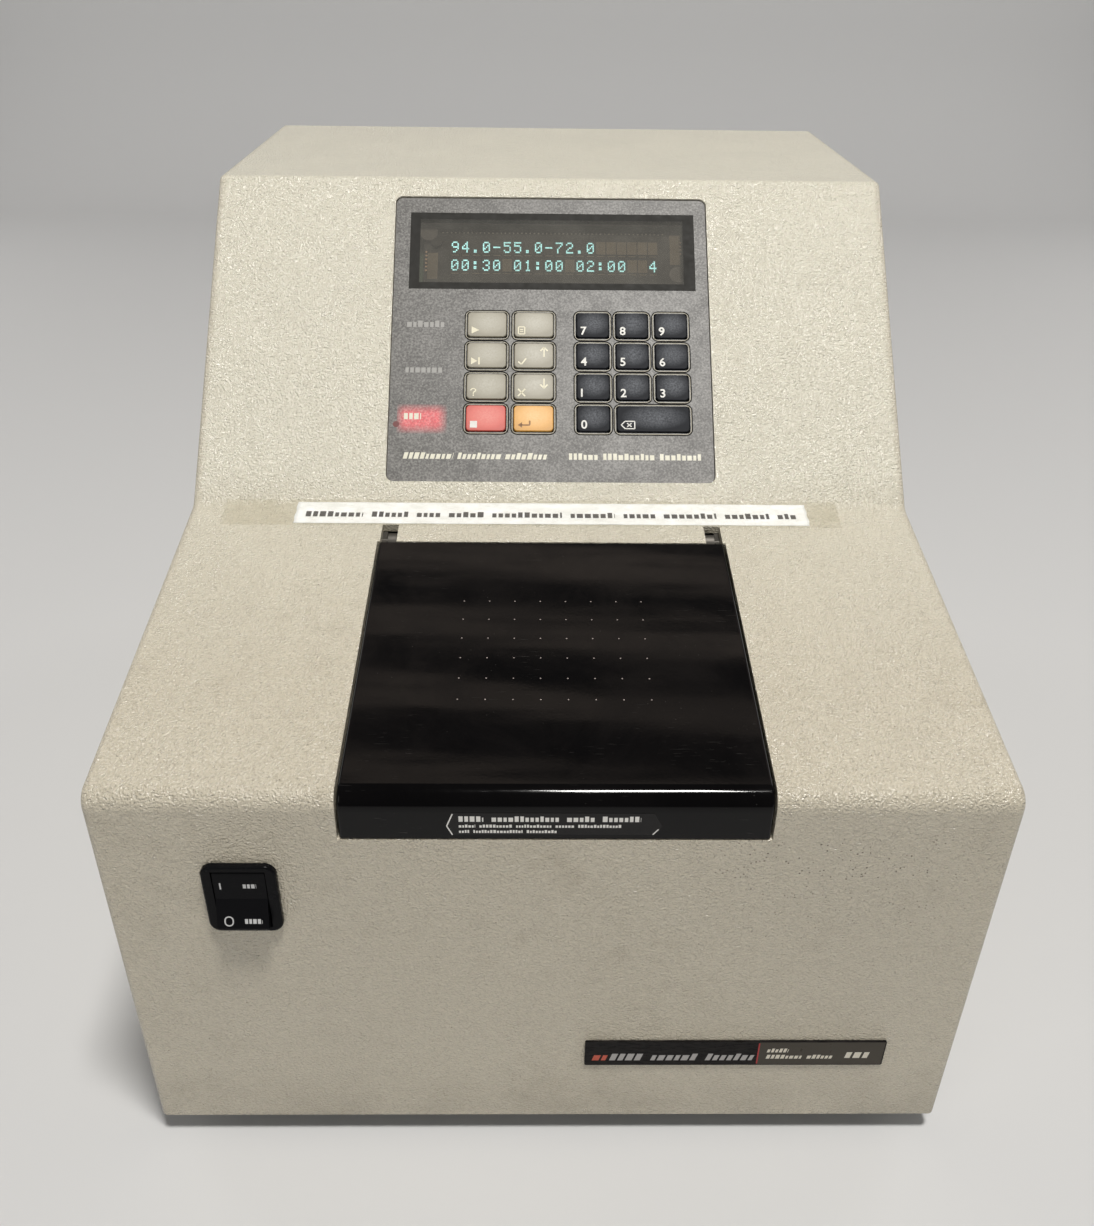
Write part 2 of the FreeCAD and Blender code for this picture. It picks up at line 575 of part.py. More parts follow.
def hinge_arms():
    """Two flat steel arms screwed under the lid. Their rear ends turn on the hinge pins."""
    body = new_body("hinge_arms")
    for side in ("arm_x", "-arm_x - arm_width"):
        bar = side_view("deck", "lid_length - arm_reach", "hinge_s", "hinge_n - arm_round",
                        "-lid_wall - 0.3")
        pad(body, polygon(new_sketch(body, "YZ", side), bar), "arm_width")
        eye = circle(new_sketch(body, "YZ", side), *frame_point("deck", "hinge_s", "hinge_n"), "arm_round")
        pad(body, eye, "arm_width")
    bore = circle(new_sketch(body, "YZ"), *frame_point("deck", "hinge_s", "hinge_n"),
                  "pin_radius + pin_clearance")
    pocket(body, bore, "body_width", both=True)
    keep(body)


def hinge_pins():
    """The two fixed pins that the lid turns on."""
    pins = []
    for x in ("slot_x - ear_width", "-slot_x - slot_width"):
        pins.append(rod("hinge_pin", x, *frame_point("deck", "hinge_s", "hinge_n"), "pin_radius",
                        "slot_width + ear_width", "90", (0, 1, 0)))
    keep(group("Compound", "hinge_pins", pins))


def hinge_brackets():
    """Steel brackets behind the lid's well: each has a foot and two ears that hold a pin."""
    body = new_body("hinge_brackets")
    wall_face, end = "lid_length + lid_gap + wall", "slot_end"
    low, foot, top = "hinge_n - 13", "hinge_n - 10", "-wall - 0.2"
    outer = "slot_x + slot_width"
    for side, flip in ((1, False), (-1, True)):
        base = side_view("deck", wall_face, end, low, foot)
        sketch = polygon(new_sketch(body, "YZ", f"{side}*(slot_x - ear_width)"), base)
        pad(body, sketch, "slot_width + ear_width", flip=flip)
        for inner in ("slot_x - ear_width", f"{outer} - ear_width"):
            ear = side_view("deck", wall_face, end, f"{foot} - 1", top)
            pad(body, polygon(new_sketch(body, "YZ", f"{side}*({inner})"), ear), "ear_width", flip=flip)
    bore = circle(new_sketch(body, "YZ"), *frame_point("deck", "hinge_s", "hinge_n"), "pin_radius")
    pocket(body, bore, "body_width", both=True)
    keep(body)


# ---------------------------------------------------------------- sample block
def corner_holes(body, base, depth, flip):
    """Holes for the four block screws."""
    sketch = new_sketch(body, "XY", base)
    for x, s in BLOCK_CORNERS:
        circle(sketch, x, s, "screw_radius")
    pocket(body, sketch, depth, flip=flip)


def probe_hole(body, base, depth):
    sketch = circle(new_sketch(body, "XY", base), "0", "block_s", "probe_radius + 0.1")
    pocket(body, sketch, depth, flip=True)


def sample_block():
    """Aluminium block with a grid of tapered wells, and a drilling underneath for the probe."""
    body = new_body("sample_block")
    place_on("deck", body)
    base = "block_top - block_height"
    pad(body, rectangle(new_sketch(body, "XY", base), "0", "block_s", "block_width", "block_length"),
        "block_height")
    first = ("-well_pitch_x*(well_columns - 1)/2", "block_s - well_pitch_s*(well_rows - 1)/2")
    collar = circle(new_sketch(body, "XY", "block_top"), *first, "well_radius")
    straight = pocket(body, collar, "well_collar")
    cone = circle(new_sketch(body, "XY", "block_top - well_collar"), *first, "well_radius")
    tapered = pocket(body, cone, "well_depth - well_collar", taper="-well_taper")
    pattern(body, [straight, tapered], collar,
            [("H_Axis", "well_pitch_x", "well_columns"), ("V_Axis", "well_pitch_s", "well_rows")])
    probe_hole(body, base, "probe_length/2")
    keep(body)


def bay_gasket():
    """Rubber seal on the well's floor, round the sample block."""
    body = new_body("bay_gasket")
    place_on("deck", body)
    floor = "-lid_height - lid_gap"
    inner = ("block_width + foam_wall + 2", "block_length + foam_wall + 2")
    pad(body, rectangle(new_sketch(body, "XY", floor), "0", "block_s", f"{inner[0]} + 2*seal_width",
                        f"{inner[1]} + 2*seal_width"), "seal_height")
    pocket(body, rectangle(new_sketch(body, "XY", floor), "0", "block_s", *inner), "seal_height", flip=True)
    keep(body)


def block_heater():
    """Flat heater pad between the block and its clamp plate."""
    body = new_body("block_heater")
    place_on("deck", body)
    low = "block_top - block_height - heater_height"
    pad(body, rectangle(new_sketch(body, "XY", low), "0", "block_s", "block_width - 2", "block_length - 2"),
        "heater_height")
    probe_hole(body, low, "heater_height")
    keep(body)


CLAMP_LOW = "block_top - block_height - heater_height - clamp_height"


def heater_clamp_plate():
    """Plate that carries the heater and the block, hung from the shell by four screws."""
    body = new_body("heater_clamp_plate")
    place_on("deck", body)
    pad(body, rectangle(new_sketch(body, "XY", CLAMP_LOW), "0", "block_s", "block_width + 2*clamp_margin",
                        "block_length + 2*clamp_margin"), "clamp_height")
    soften(body, "4", lambda edge: parallel(edge, Vector(0, 0, 1)))
    corner_holes(body, CLAMP_LOW, "clamp_height", True)
    probe_hole(body, CLAMP_LOW, "clamp_height")
    keep(body)


def block_insulation():
    """Foam frame round the block, between the clamp plate and the well's floor."""
    body = new_body("block_insulation")
    place_on("deck", body)
    low = f"{CLAMP_LOW} + clamp_height"
    height = f"-lid_height - lid_gap - wall - ({low})"
    pad(body, rectangle(new_sketch(body, "XY", low), "0", "block_s", "block_width + 2*foam_wall",
                        "block_length + 2*foam_wall"), height)
    pocket(body, rectangle(new_sketch(body, "XY", low), "0", "block_s", "block_width + 0.4",
                           "block_length + 0.4"), height, flip=True)
    keep(body)


def block_screws():
    """Four long screws from the clamp plate up into the shell's posts."""
    screws = []
    for x, s in BLOCK_CORNERS:
        head = rod("block_screw_head", x, s, f"{CLAMP_LOW} - 2.5", "2*screw_radius", "2.5", frame="deck")
        shank = rod("block_screw_shank", x, s, CLAMP_LOW, "screw_radius",
                    f"-lid_height - lid_gap - wall - 2 - ({CLAMP_LOW})", frame="deck")
        screws.append(group("MultiFuse", "block_screw", [head, shank]))
    keep(group("Compound", "block_screws", screws))


def temperature_probe():
    """Probe pushed up into the middle of the block from below."""
    tip = rod("probe_tip", "0", "block_s", f"{CLAMP_LOW} - 6", "probe_radius", "probe_length - 4",
              frame="deck")
    hub = rod("probe_hub", "0", "block_s", f"{CLAMP_LOW} - 12", "2.5*probe_radius", "9", frame="deck")
    keep(group("MultiFuse", "temperature_probe", [tip, hub]))


# ---------------------------------------------------------------- keypad console
BEZEL_BACK = "-bezel_recess - bezel_face - bezel_flange"
SKIRT_TOP = f"{BEZEL_BACK} - 0.3"
KEYBOARD_TOP = f"{SKIRT_TOP} - key_skirt_height - key_travel - 0.3"
DISPLAY_BACK = f"{BEZEL_BACK} - 9"
SOCKET_BACK = f"{DISPLAY_BACK} - board_height - socket_depth"
FUNCTION_KEYS = (("key_stop", "key_enter"), ("key_help", "key_no"), ("key_step", "key_yes"),
                 ("key_start", "key_file"))
DIGIT_KEYS = (("key_0",), ("key_1", "key_2", "key_3"), ("key_4", "key_5", "key_6"),
              ("key_7", "key_8", "key_9"))
LAMP_ROWS = (0, 1, 2)


def key_places():
    """Every key's label, centre x, centre s and width; row 0 is the lowest row."""
    for row, labels in enumerate(FUNCTION_KEYS):
        for column, label in enumerate(labels):
            yield (label, f"function_x + {column}*function_pitch", f"row_s + {row}*row_pitch",
                   "function_key_width")
    for row, labels in enumerate(DIGIT_KEYS):
        for column, label in enumerate(labels):
            yield label, f"digit_x + {column}*digit_pitch", f"row_s + {row}*row_pitch", "digit_key_width"
    yield "key_clear", "digit_x + 1.5*digit_pitch", "row_s", "clear_key_width"


def keypad_bezel():
    """Keypad plate: a face set into the console, a flange behind it, and cut-outs for every key."""
    body = new_body("keypad_bezel")
    place_on("console", body)
    flange = rectangle(new_sketch(body, "XY", BEZEL_BACK), "0", "bezel_s", "bezel_width + 2*bezel_lip",
                       "bezel_length + 2*bezel_lip")
    pad(body, flange, "bezel_flange")
    face = rectangle(new_sketch(body, "XY", f"{BEZEL_BACK} + bezel_flange/2"), "0", "bezel_s",
                     "bezel_width", "bezel_length")
    pad(body, face, "bezel_face + bezel_flange/2")
    soften(body, "bezel_round", lambda edge: parallel(edge, Vector(0, 0, 1)))
    through = new_sketch(body, "XY", "0")
    for label, x, s, width in key_places():
        rectangle(through, x, s, f"{width} + 2*key_gap", "key_length + 2*key_gap")
    for row in LAMP_ROWS:
        rectangle(through, "lamp_x", f"lamp_s + {row}*lamp_pitch", "lamp_width + 0.2", "lamp_length + 0.2")
    rectangle(through, "window_x", "window_s", "window_width - 2*window_ledge",
              "window_length - 2*window_ledge")
    pocket(body, through, "10")
    ledge = rectangle(new_sketch(body, "XY", "0"), "window_x", "window_s", "window_width",
                      "window_length")
    pocket(body, ledge, "bezel_recess + window_height")
    for levels, board in ((("14", "106"), KEYBOARD_TOP), (("118", "157"), DISPLAY_BACK)):
        posts = new_sketch(body, "XY", f"{BEZEL_BACK} + 1")
        for side in (-1, 1):
            for s in levels:
                circle(posts, f"{side}*(bezel_width/2 - prop_inset)", s, "prop_radius")
        pad(body, posts, f"{BEZEL_BACK} + 1 - ({board})", flip=True)
    keep(body)


def display_window():
    """Smoked window over the display, flush with the keypad's face."""
    body = new_body("display_window")
    place_on("console", body)
    pad(body, rectangle(new_sketch(body, "XY", "-bezel_recess - window_height"), "window_x", "window_s",
                        "window_width - 0.3", "window_length - 0.3"), "window_height")
    soften(body, "0.8", lambda edge: parallel(edge, Vector(0, 0, 1)))
    keep(body)


def display_tube():
    """Flat glass vacuum display behind the window, with its sealed-off tip."""
    glass = box("tube_glass", "window_x", "window_s", DISPLAY_BACK, "tube_width", "tube_length",
                "tube_height", "console")
    tip = rod("tube_tip", "-59", "window_s + 9", f"{DISPLAY_BACK} + 6", "3", "2.5", frame="console")
    keep(group("MultiFuse", "display_tube", [glass, tip]))


def display_board():
    """Circuit board that the display is soldered to."""
    low = f"{DISPLAY_BACK} - board_height"
    board = box("display_board_plate", "0", "window_s", low, "bezel_width - 3", "tube_length + 13",
                "board_height", "console")
    socket = box("display_socket", "socket_x", "window_s", SOCKET_BACK, "socket_width", "9",
                 "socket_depth + 0.5", "console")
    keep(group("MultiFuse", "display_board", [board, socket]))


def keypad_board():
    """Circuit board under the keys."""
    keep(box("keypad_board", "0", "60", f"{KEYBOARD_TOP} - board_height", "bezel_width - 3", "100",
             "board_height", "console"))


def indicator_lamps():
    """Three lenses left of the keys; the lowest is the hot-block warning."""
    lenses = [box("lens", "lamp_x", f"lamp_s + {row}*lamp_pitch", KEYBOARD_TOP, "lamp_width", "lamp_length",
                  f"-bezel_recess - ({KEYBOARD_TOP})", "console") for row in LAMP_ROWS]
    keep(group("Compound", "indicator_lamps", lenses))


def key(label, x, s, width):
    """One key: a cap that stands through the bezel and a wider skirt that keeps it in."""
    body = new_body(label)
    place_on("console", body, x, s, f"{SKIRT_TOP} - key_skirt_height")
    skirt = rectangle(new_sketch(body, "XY"), "0", "0", f"{width} + 2*(key_gap + key_skirt)",
                      "key_length + 2*(key_gap + key_skirt)")
    pad(body, skirt, "key_skirt_height")
    cap = rectangle(new_sketch(body, "XY"), "0", "0", width, "key_length")
    pad(body, cap, f"key_proud - bezel_recess - ({SKIRT_TOP} - key_skirt_height)")
    top = number(f"key_proud - bezel_recess - ({SKIRT_TOP} - key_skirt_height)")
    soften(body, "key_round", lambda edge: parallel(edge, Vector(0, 0, 1)) and edge.BoundBox.ZMax > top - 1)
    soften(body, "0.5", lambda edge: flat_at(edge, "Z", top))
    keep(body)


# ---------------------------------------------------------------- power switch
def switch_body():
    """Rocker switch housing: a bezel outside, a box through the wall and blades behind."""
    body = new_body("switch_body")
    place(body, "switch_x", "deck_y", "switch_z")
    bezel = rectangle(new_sketch(body, "XZ"), "0", "0", "switch_width", "switch_length")
    pad(body, bezel, "switch_proud")
    soften(body, "switch_round", lambda edge: parallel(edge, Vector(0, 1, 0)))
    front = -DIMS["switch_proud"]
    soften(body, "1", lambda edge: flat_at(edge, "Y", front))
    case = rectangle(new_sketch(body, "XZ", "-switch_depth"), "0", "0",
                     "switch_width - 2*switch_lip_x", "switch_length - 2*switch_lip_z")
    pad(body, case, "switch_depth + 1")
    window = rectangle(new_sketch(body, "XZ", "switch_proud + 1"), "0", "0", "rocker_width + 0.8",
                       "rocker_length + 2.4")
    pocket(body, window, "switch_proud + 10")
    axle = circle(new_sketch(body, "YZ"), "rocker_depth", "0", "axle_radius + pin_clearance")
    pocket(body, axle, "rocker_width + 3", both=True)
    blades = new_sketch(body, "XZ", "-switch_depth - blade_length")
    for x in ("-6", "6"):
        for z in ("-9", "2"):
            rectangle(blades, x, z, "blade_height", "blade_width")
    pad(body, blades, "blade_length + 1")
    keep(body)


def switch_rocker():
    """The rocker, a shallow V in side view on a thin axle. It rests with its top pressed in."""
    body = new_body("switch_rocker")
    place(body, "switch_x", "deck_y + rocker_depth", "switch_z", "-rocker_swing")
    half = "rocker_length/2"
    outline = [("-6", f"-{half}"), ("-4", "0"), ("-6", half),
               ("3", f"{half} - 1.2"), ("3", f"-{half} + 1.2")]
    pad(body, polygon(new_sketch(body, "YZ"), outline), "rocker_width", both=True)
    soften(body, "0.8", lambda edge: parallel(edge, Vector(1, 0, 0)) and edge.BoundBox.YMax < -5)
    axle = circle(new_sketch(body, "YZ"), "0", "0", "axle_radius")
    pad(body, axle, "rocker_width + 2.4", both=True)
    keep(body)


# ---------------------------------------------------------------- back connectors
def power_inlet():
    """Mains inlet: a flange on the panel, a box behind it, a deep recess and three pins."""
    body = new_body("power_inlet")
    place(body, "inlet_x", "back_y - panel_inset", "inlet_z")
    flange = rectangle(new_sketch(body, "XZ"), "0", "0", "inlet_width + 2*inlet_lip",
                       "inlet_length + 3")
    pad(body, flange, "inlet_flange", flip=True)
    soften(body, "1.5", lambda edge: parallel(edge, Vector(0, 1, 0)))
    case = rectangle(new_sketch(body, "XZ", "-1"), "0", "0", "inlet_width", "inlet_length")
    pad(body, case, "inlet_recess + 5")
    recess = rectangle(new_sketch(body, "XZ", "-3"), "0", "0", "inlet_width - 2*inlet_wall",
                       "inlet_length - 2*inlet_wall")
    pocket(body, recess, "inlet_recess + 0.6", flip=True)
    pins = new_sketch(body, "XZ", "inlet_recess - 1")
    for x, z in (("-pin_x", "-pin_z"), ("0", "pin_z"), ("pin_x", "-pin_z")):
        rectangle(pins, x, z, "2", "4")
    pad(body, pins, "10", flip=True)
    blades = new_sketch(body, "XZ", "inlet_recess + 3")
    for x, z in (("-pin_x", "-2*pin_z"), ("0", "2*pin_z"), ("pin_x", "-2*pin_z")):
        rectangle(blades, x, z, "blade_width", "blade_height")
    pad(body, blades, "blade_length")
    keep(body)


def serial_connector():
    """Nine-way socket: a flange, a nose, two studs and a block behind the panel."""
    face = "back_y - panel_inset"
    flange = box("serial_flange", "serial_x", f"{face} + 0.5", "serial_z - serial_drop/2",
                 "serial_span", "1", "serial_drop")
    nose = box("serial_nose", "serial_x", f"{face} + 3.5", "serial_z - serial_nose_drop/2",
               "serial_nose_width", "6", "serial_nose_drop")
    rear = box("serial_rear", "serial_x", f"{face} - 4.5", "serial_z - serial_length/2",
               "serial_width", "10", "serial_length")
    studs = [rod("serial_stud", f"serial_x + {side}*serial_stud_x", f"{face} + 6", "serial_z",
                 "serial_stud_radius", "5.5", "90", (1, 0, 0)) for side in (-1, 1)]
    keep(group("MultiFuse", "serial_connector", [flange, nose, rear, *studs]))


# ---------------------------------------------------------------- machinery inside
def fan_frame():
    """Square fan frame with a round bore, four struts and a fixed axle."""
    body = new_body("fan_frame")
    place(body, "fan_x", "back_y - panel_inset - sheet_metal - fan_depth", "fan_z")
    pad(body, rectangle(new_sketch(body, "XZ"), "0", "0", "fan_size", "fan_size"), "fan_depth", flip=True)
    soften(body, "6", lambda edge: parallel(edge, Vector(0, 1, 0)))
    pocket(body, circle(new_sketch(body, "XZ"), "0", "0", "fan_bore"), "fan_depth")
    span = "2*fan_bore + 2"
    for size in ((span, "fan_strut"), ("fan_strut", span)):
        strut = rectangle(new_sketch(body, "XZ"), "0", "0", *size)
        pad(body, strut, "fan_strut_height", flip=True)
    pad(body, circle(new_sketch(body, "XZ"), "0", "0", "fan_hub"), "fan_strut_height", flip=True)
    axle = circle(new_sketch(body, "XZ"), "0", "0", "fan_axle_radius")
    pad(body, axle, "fan_depth - 3", flip=True)
    keep(body)


def fan_impeller():
    """Hub and tilted blades, free to turn on the frame's axle."""
    rear = "back_y - panel_inset - sheet_metal"
    hub = rod("fan_hub_disc", "fan_x", f"{rear} - 2", "fan_z", "fan_hub", "fan_depth - 5.5",
              "90", (1, 0, 0))
    blades = []
    for i in range(int(DIMS["fan_blades"])):
        turn = Rotation(Vector(0, 1, 0), 360 * i / DIMS["fan_blades"])
        pitch = Rotation(Vector(0, 0, 1), DIMS["fan_blade_pitch"])
        blade = doc.addObject("Part::Box", "fan_blade")
        blade.setExpression("Length", bound("fan_chord"))
        blade.setExpression("Width", bound("fan_blade_height"))
        blade.setExpression("Height", bound("fan_bore - fan_hub - 1"))
        centre = Vector(number("fan_x"), number(f"{rear} - fan_depth/2"), number("fan_z"))
        middle = Vector(-DIMS["fan_chord"] / 2, -DIMS["fan_blade_height"] / 2, 0)
        corner = pitch.multVec(middle).add(Vector(0, 0, number("fan_hub - 1.5")))
        blade.Placement = Placement(centre.add(turn.multVec(corner)), turn.multiply(pitch))
        blades.append(blade)
    wheel = group("MultiFuse", "fan_wheel", [hub, *blades])
    bore = rod("fan_bore_tool", "fan_x", f"{rear} + 1", "fan_z", "fan_axle_radius + 0.06",
               "fan_depth + 2", "90", (1, 0, 0))
    keep(cut("fan_impeller", wheel, bore))


def condenser():
    """Finned heat exchanger in front of the fan, with a row of tubes through its rear half."""
    body = new_body("condenser")
    place(body, "fan_x", "back_y - panel_inset - sheet_metal - fan_depth - 4", "fan_z")
    core = rectangle(new_sketch(body, "XZ"), "0", "0", "fan_size + 8", "fan_size + 4")
    pad(body, core, "condenser_depth")
    groove = rectangle(new_sketch(body, "XZ", "condenser_depth - fin_depth"), "-7*fin_pitch", "0",
                       "fin_gap", "fan_size - 8")
    gap = pocket(body, groove, "fin_depth + 6", flip=True)
    pattern(body, [gap], groove, [("H_Axis", "fin_pitch", "15")])
    tubes = new_sketch(body, "YZ")
    for row in (-1.5, -0.5, 0.5, 1.5):
        circle(tubes, "-(condenser_depth - fin_depth)/2", f"{row}*tube_pitch", "tube_radius")
    pad(body, tubes, "fan_size + 2*tube_overhang", both=True)
    keep(body)


def compressor():
    """Domed hermetic compressor on a mounting plate."""
    shell = rod("compressor_shell", "compressor_x", "compressor_y", "foot_height + 12", "compressor_radius",
                "compressor_height")
    doc.recompute()
    dome = doc.addObject("Part::Fillet", "compressor_dome")
    dome.Base = shell
    radius = DIMS["compressor_radius"] * 0.4
    dome.Edges = [(i, radius, radius) for i, edge in enumerate(shell.Shape.Edges, 1)
                  if edge.Closed and edge.BoundBox.ZLength < 0.01]
    plate = box("compressor_plate", "compressor_x", "compressor_y", "foot_height + 8", "112", "100", "5")
    stub = rod("compressor_stub", "compressor_x + 20", "compressor_y - 20",
               "foot_height + compressor_height - 20", "4", "46")
    mounts = [rod("compressor_mount", f"compressor_x + {x}", f"compressor_y + {y}", PAN_TOP, "7", "7")
              for x in (-48, 48) for y in (-42, 42)]
    keep(group("MultiFuse", "compressor", [dome, plate, stub, *mounts]))


def transformer():
    """Mains transformer: a laminated core and two windings."""
    core = box("transformer_core", "core_x", "core_y", PAN_TOP, "core_width", "core_depth", "core_height")
    coils = [box("transformer_coil", f"core_x + {side}*coil_spacing/2", "core_y",
                 f"{PAN_TOP} + (core_height - coil_height)/2", "coil_width", "coil_depth", "coil_height")
             for side in (-1, 1)]
    keep(group("MultiFuse", "transformer", [core, *coils]))


def power_board():
    """Power supply board on four posts, with a heat sink and capacitors."""
    level = f"{PAN_TOP} + supply_rise"
    board = box("supply_plate", "supply_x", "supply_y", level, "supply_width", "supply_length",
                "board_height")
    posts = [rod("supply_post", f"supply_x + {side}*(supply_width/2 - 6)",
                 f"supply_y + {end}*(supply_length/2 - 6)", PAN_TOP, "2*screw_radius", "supply_rise + 1")
             for side in (-1, 1) for end in (-1, 1)]
    sink = box("supply_sink", "supply_x - supply_width/4", "supply_y", f"{level} + 1", "sink_width",
               "supply_length - 14", "sink_height")
    capacitors = [rod("capacitor", f"supply_x + {offset}", "supply_y - 15", f"{level} + 1",
                      "capacitor_radius", "capacitor_height") for offset in (6, 34)]
    keep(group("MultiFuse", "power_board", [board, *posts, sink, *capacitors]))


def control_board():
    """Upright processor board along the right-hand side, with six chips and the ribbon's plug."""
    board = box("processor_plate", "processor_x", "processor_y", "processor_z", "board_height",
                "processor_length", "processor_height")
    chips = [box("chip", "processor_x - 2", f"processor_y + {column}*50", f"processor_z + 32 + {row}*50",
                 "4", "36", "14") for column in (-1, 0, 1) for row in (0, 1)]
    plug = box("ribbon_plug", "processor_x - 3.6", "plug_y", "processor_z + processor_height - plug_height",
               "6", "ribbon_width + 8", "plug_height")
    keep(group("MultiFuse", "control_board", [board, *chips, plug]))


def display_ribbon():
    """Flat cable from the display's socket to the right, then straight down to the processor board."""
    body = new_body("display_ribbon")
    low, high = "window_s - ribbon_width/2", "window_s + ribbon_width/2"
    across = side_view("console", low, high, f"{SOCKET_BACK} - ribbon_height", SOCKET_BACK)
    pad(body, polygon(new_sketch(body, "YZ", "socket_x"), across), "ribbon_end - socket_x")
    ahead, behind = frame_point("console", low, SOCKET_BACK), frame_point("console", high, SOCKET_BACK)
    bottom = "processor_z + processor_height"
    down = [ahead, (ahead[0], bottom), (behind[0], bottom), behind]
    pad(body, polygon(new_sketch(body, "YZ", "ribbon_end - ribbon_height"), down), "ribbon_height")
    keep(body)


def coolant_tank():
    """Coolant bottle with a screw cap."""
    tank = rod("tank_wall", "tank_x", "tank_y", PAN_TOP, "tank_radius", "tank_height")
    cap = rod("tank_cap", "tank_x", "tank_y", f"{PAN_TOP} + tank_height - 2", "cap_radius", "14")
    keep(group("MultiFuse", "coolant_tank", [tank, cap]))


def coolant_pump():
    """Small pump: a head, a motor behind it and a stub on top for the hose."""
    head = box("pump_head", "pump_x", "pump_y", PAN_TOP, "pump_width", "pump_depth", "pump_width")
    motor = rod("pump_motor", "pump_x", "pump_y + pump_depth/3 + motor_length",
                f"{PAN_TOP} + pump_width/2 + 2", "motor_radius", "motor_length", "90", (1, 0, 0))
    outlet = rod("pump_outlet", "pump_x", "pump_y", f"{PAN_TOP} + pump_width - 2", "stub_radius", "12")
    keep(group("MultiFuse", "coolant_pump", [head, motor, outlet]))


def hose(route, start, end):
    """Tube along a smooth line through the points of the route, square to it at both ends."""
    line = Part.BSplineCurve()
    line.interpolate(Points=[Vector(*map(number, spot)) for spot in route], InitialTangent=start,
                     FinalTangent=end)
    ring = Part.Wire(Part.makeCircle(number("hose_radius"), line.value(line.FirstParameter), start))
    return Part.Wire(line.toShape()).makePipeShell([ring], True, True)


def coolant_hoses():
    """Soft hoses: straight from the tank to the pump, and from the pump up to the clamp plate."""
    level, stub = f"{PAN_TOP} + hose_rise", f"{PAN_TOP} + pump_width + 10"
    tank_side = Vector(*map(number, ("tank_x + tank_radius", "tank_y", level)))
    span = number("pump_x - pump_width/2 - tank_x - tank_radius")
    supply = Part.makeCylinder(number("hose_radius"), span, tank_side, Vector(1, 0, 0))
    plate_y, plate_z = frame_point("deck", "block_s + block_length/2 - 8", CLAMP_LOW)
    entry_x = "pump_x + 4"
    upward = Vector(0, 0, 1)
    route = [("pump_x", "pump_y", stub), ("pump_x", "pump_y - 30", f"{stub} + 34"),
             (entry_x, f"{plate_y} + 22", f"{plate_z} - 30"), (entry_x, plate_y, f"{plate_z} - 1.2")]
    made = doc.addObject("Part::Feature", "coolant_hoses")
    made.Shape = Part.makeCompound([supply, hose(route, upward, upward)])
    keep(made)


# ---------------------------------------------------------------- build and write
for make in (housing_shell, base_pan, rear_panel, feet, case_screws, badge, lid_cover, lid_foam,
             lid_pressure_plate, hinge_arms, hinge_pins, hinge_brackets, sample_block, bay_gasket,
             block_heater, heater_clamp_plate, block_insulation, block_screws, temperature_probe,
             keypad_bezel, display_window, display_tube, display_board, keypad_board, indicator_lamps,
             switch_body, switch_rocker, power_inlet, serial_connector, fan_frame, fan_impeller,
             condenser, compressor, transformer, power_board, control_board, display_ribbon,
             coolant_tank, coolant_pump, coolant_hoses):
    make()
for spot in key_places():
    key(*spot)
doc.recompute()

for obj in doc.Objects:
    if {"Invalid", "Error"} & set(obj.State):
        raise RuntimeError(f"{obj.Label}: {obj.State}")
os.makedirs("parts", exist_ok=True)
for part in SUBPARTS:
    if part.Shape.isNull() or not part.Shape.isValid():
        raise RuntimeError(part.Label + " has no valid shape")
    part.Shape.exportStep(f"parts/{part.Label}.step")
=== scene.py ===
"""Looks for the thermal cycler: materials, printed marks, label, note, light and camera.

Everything is in metres in the CAD frame: +X right, +Y away from the operator, +Z up.
"""
import json
import math
import random

import bmesh
import bpy
from mathutils import Matrix, Vector


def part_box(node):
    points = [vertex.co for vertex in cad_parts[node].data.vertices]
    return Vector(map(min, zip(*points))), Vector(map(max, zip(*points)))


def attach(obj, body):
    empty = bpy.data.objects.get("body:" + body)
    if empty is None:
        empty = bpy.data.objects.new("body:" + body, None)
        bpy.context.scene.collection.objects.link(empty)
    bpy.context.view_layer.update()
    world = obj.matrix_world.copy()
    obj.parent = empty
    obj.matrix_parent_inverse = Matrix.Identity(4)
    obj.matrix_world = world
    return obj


MM = 0.001
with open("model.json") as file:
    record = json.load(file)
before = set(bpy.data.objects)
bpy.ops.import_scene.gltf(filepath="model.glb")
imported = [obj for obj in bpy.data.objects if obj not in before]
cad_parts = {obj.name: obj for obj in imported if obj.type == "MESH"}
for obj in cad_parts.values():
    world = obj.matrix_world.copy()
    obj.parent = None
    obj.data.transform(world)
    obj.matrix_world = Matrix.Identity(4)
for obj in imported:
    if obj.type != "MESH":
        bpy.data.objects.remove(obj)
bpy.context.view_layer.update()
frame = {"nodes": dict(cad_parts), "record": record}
NODES = frame["nodes"]
KEYS = [n for n in NODES if n.startswith("key_")]


def link(item):
    """Puts an object in the scene."""
    bpy.context.scene.collection.objects.link(item)


# ---- the two tilted surfaces
DECK_TILT = math.radians(9.4)
CONSOLE_TILT = math.radians(44.6)
DECK_LENGTH = 180 * MM
FRONT_HEIGHT = 183 * MM
CREASE_ROUND = 8 * MM


class Slope:
    """A tilted surface with x across it, s up it from its start and n out of it."""

    def __init__(self, y, z, tilt):
        self.start = Vector((0, y, z))
        self.up = Vector((0, math.cos(tilt), math.sin(tilt)))
        self.out = Vector((0, -math.sin(tilt), math.cos(tilt)))
        self.across = Vector((1, 0, 0))

    def at(self, x, s, n=0.0):
        return self.start + self.across * x + self.up * s + self.out * n

    def local(self, point):
        offset = Vector(point) - self.start
        return Vector((offset.x, offset.dot(self.up), offset.dot(self.out)))

    def extent(self, node):
        """Lowest and highest corner of a CAD node in this surface's own x, s and n."""
        spots = [self.local(v.co) for v in NODES[node].data.vertices]
        return (Vector([min(p[i] for p in spots) for i in range(3)]),
                Vector([max(p[i] for p in spots) for i in range(3)]))


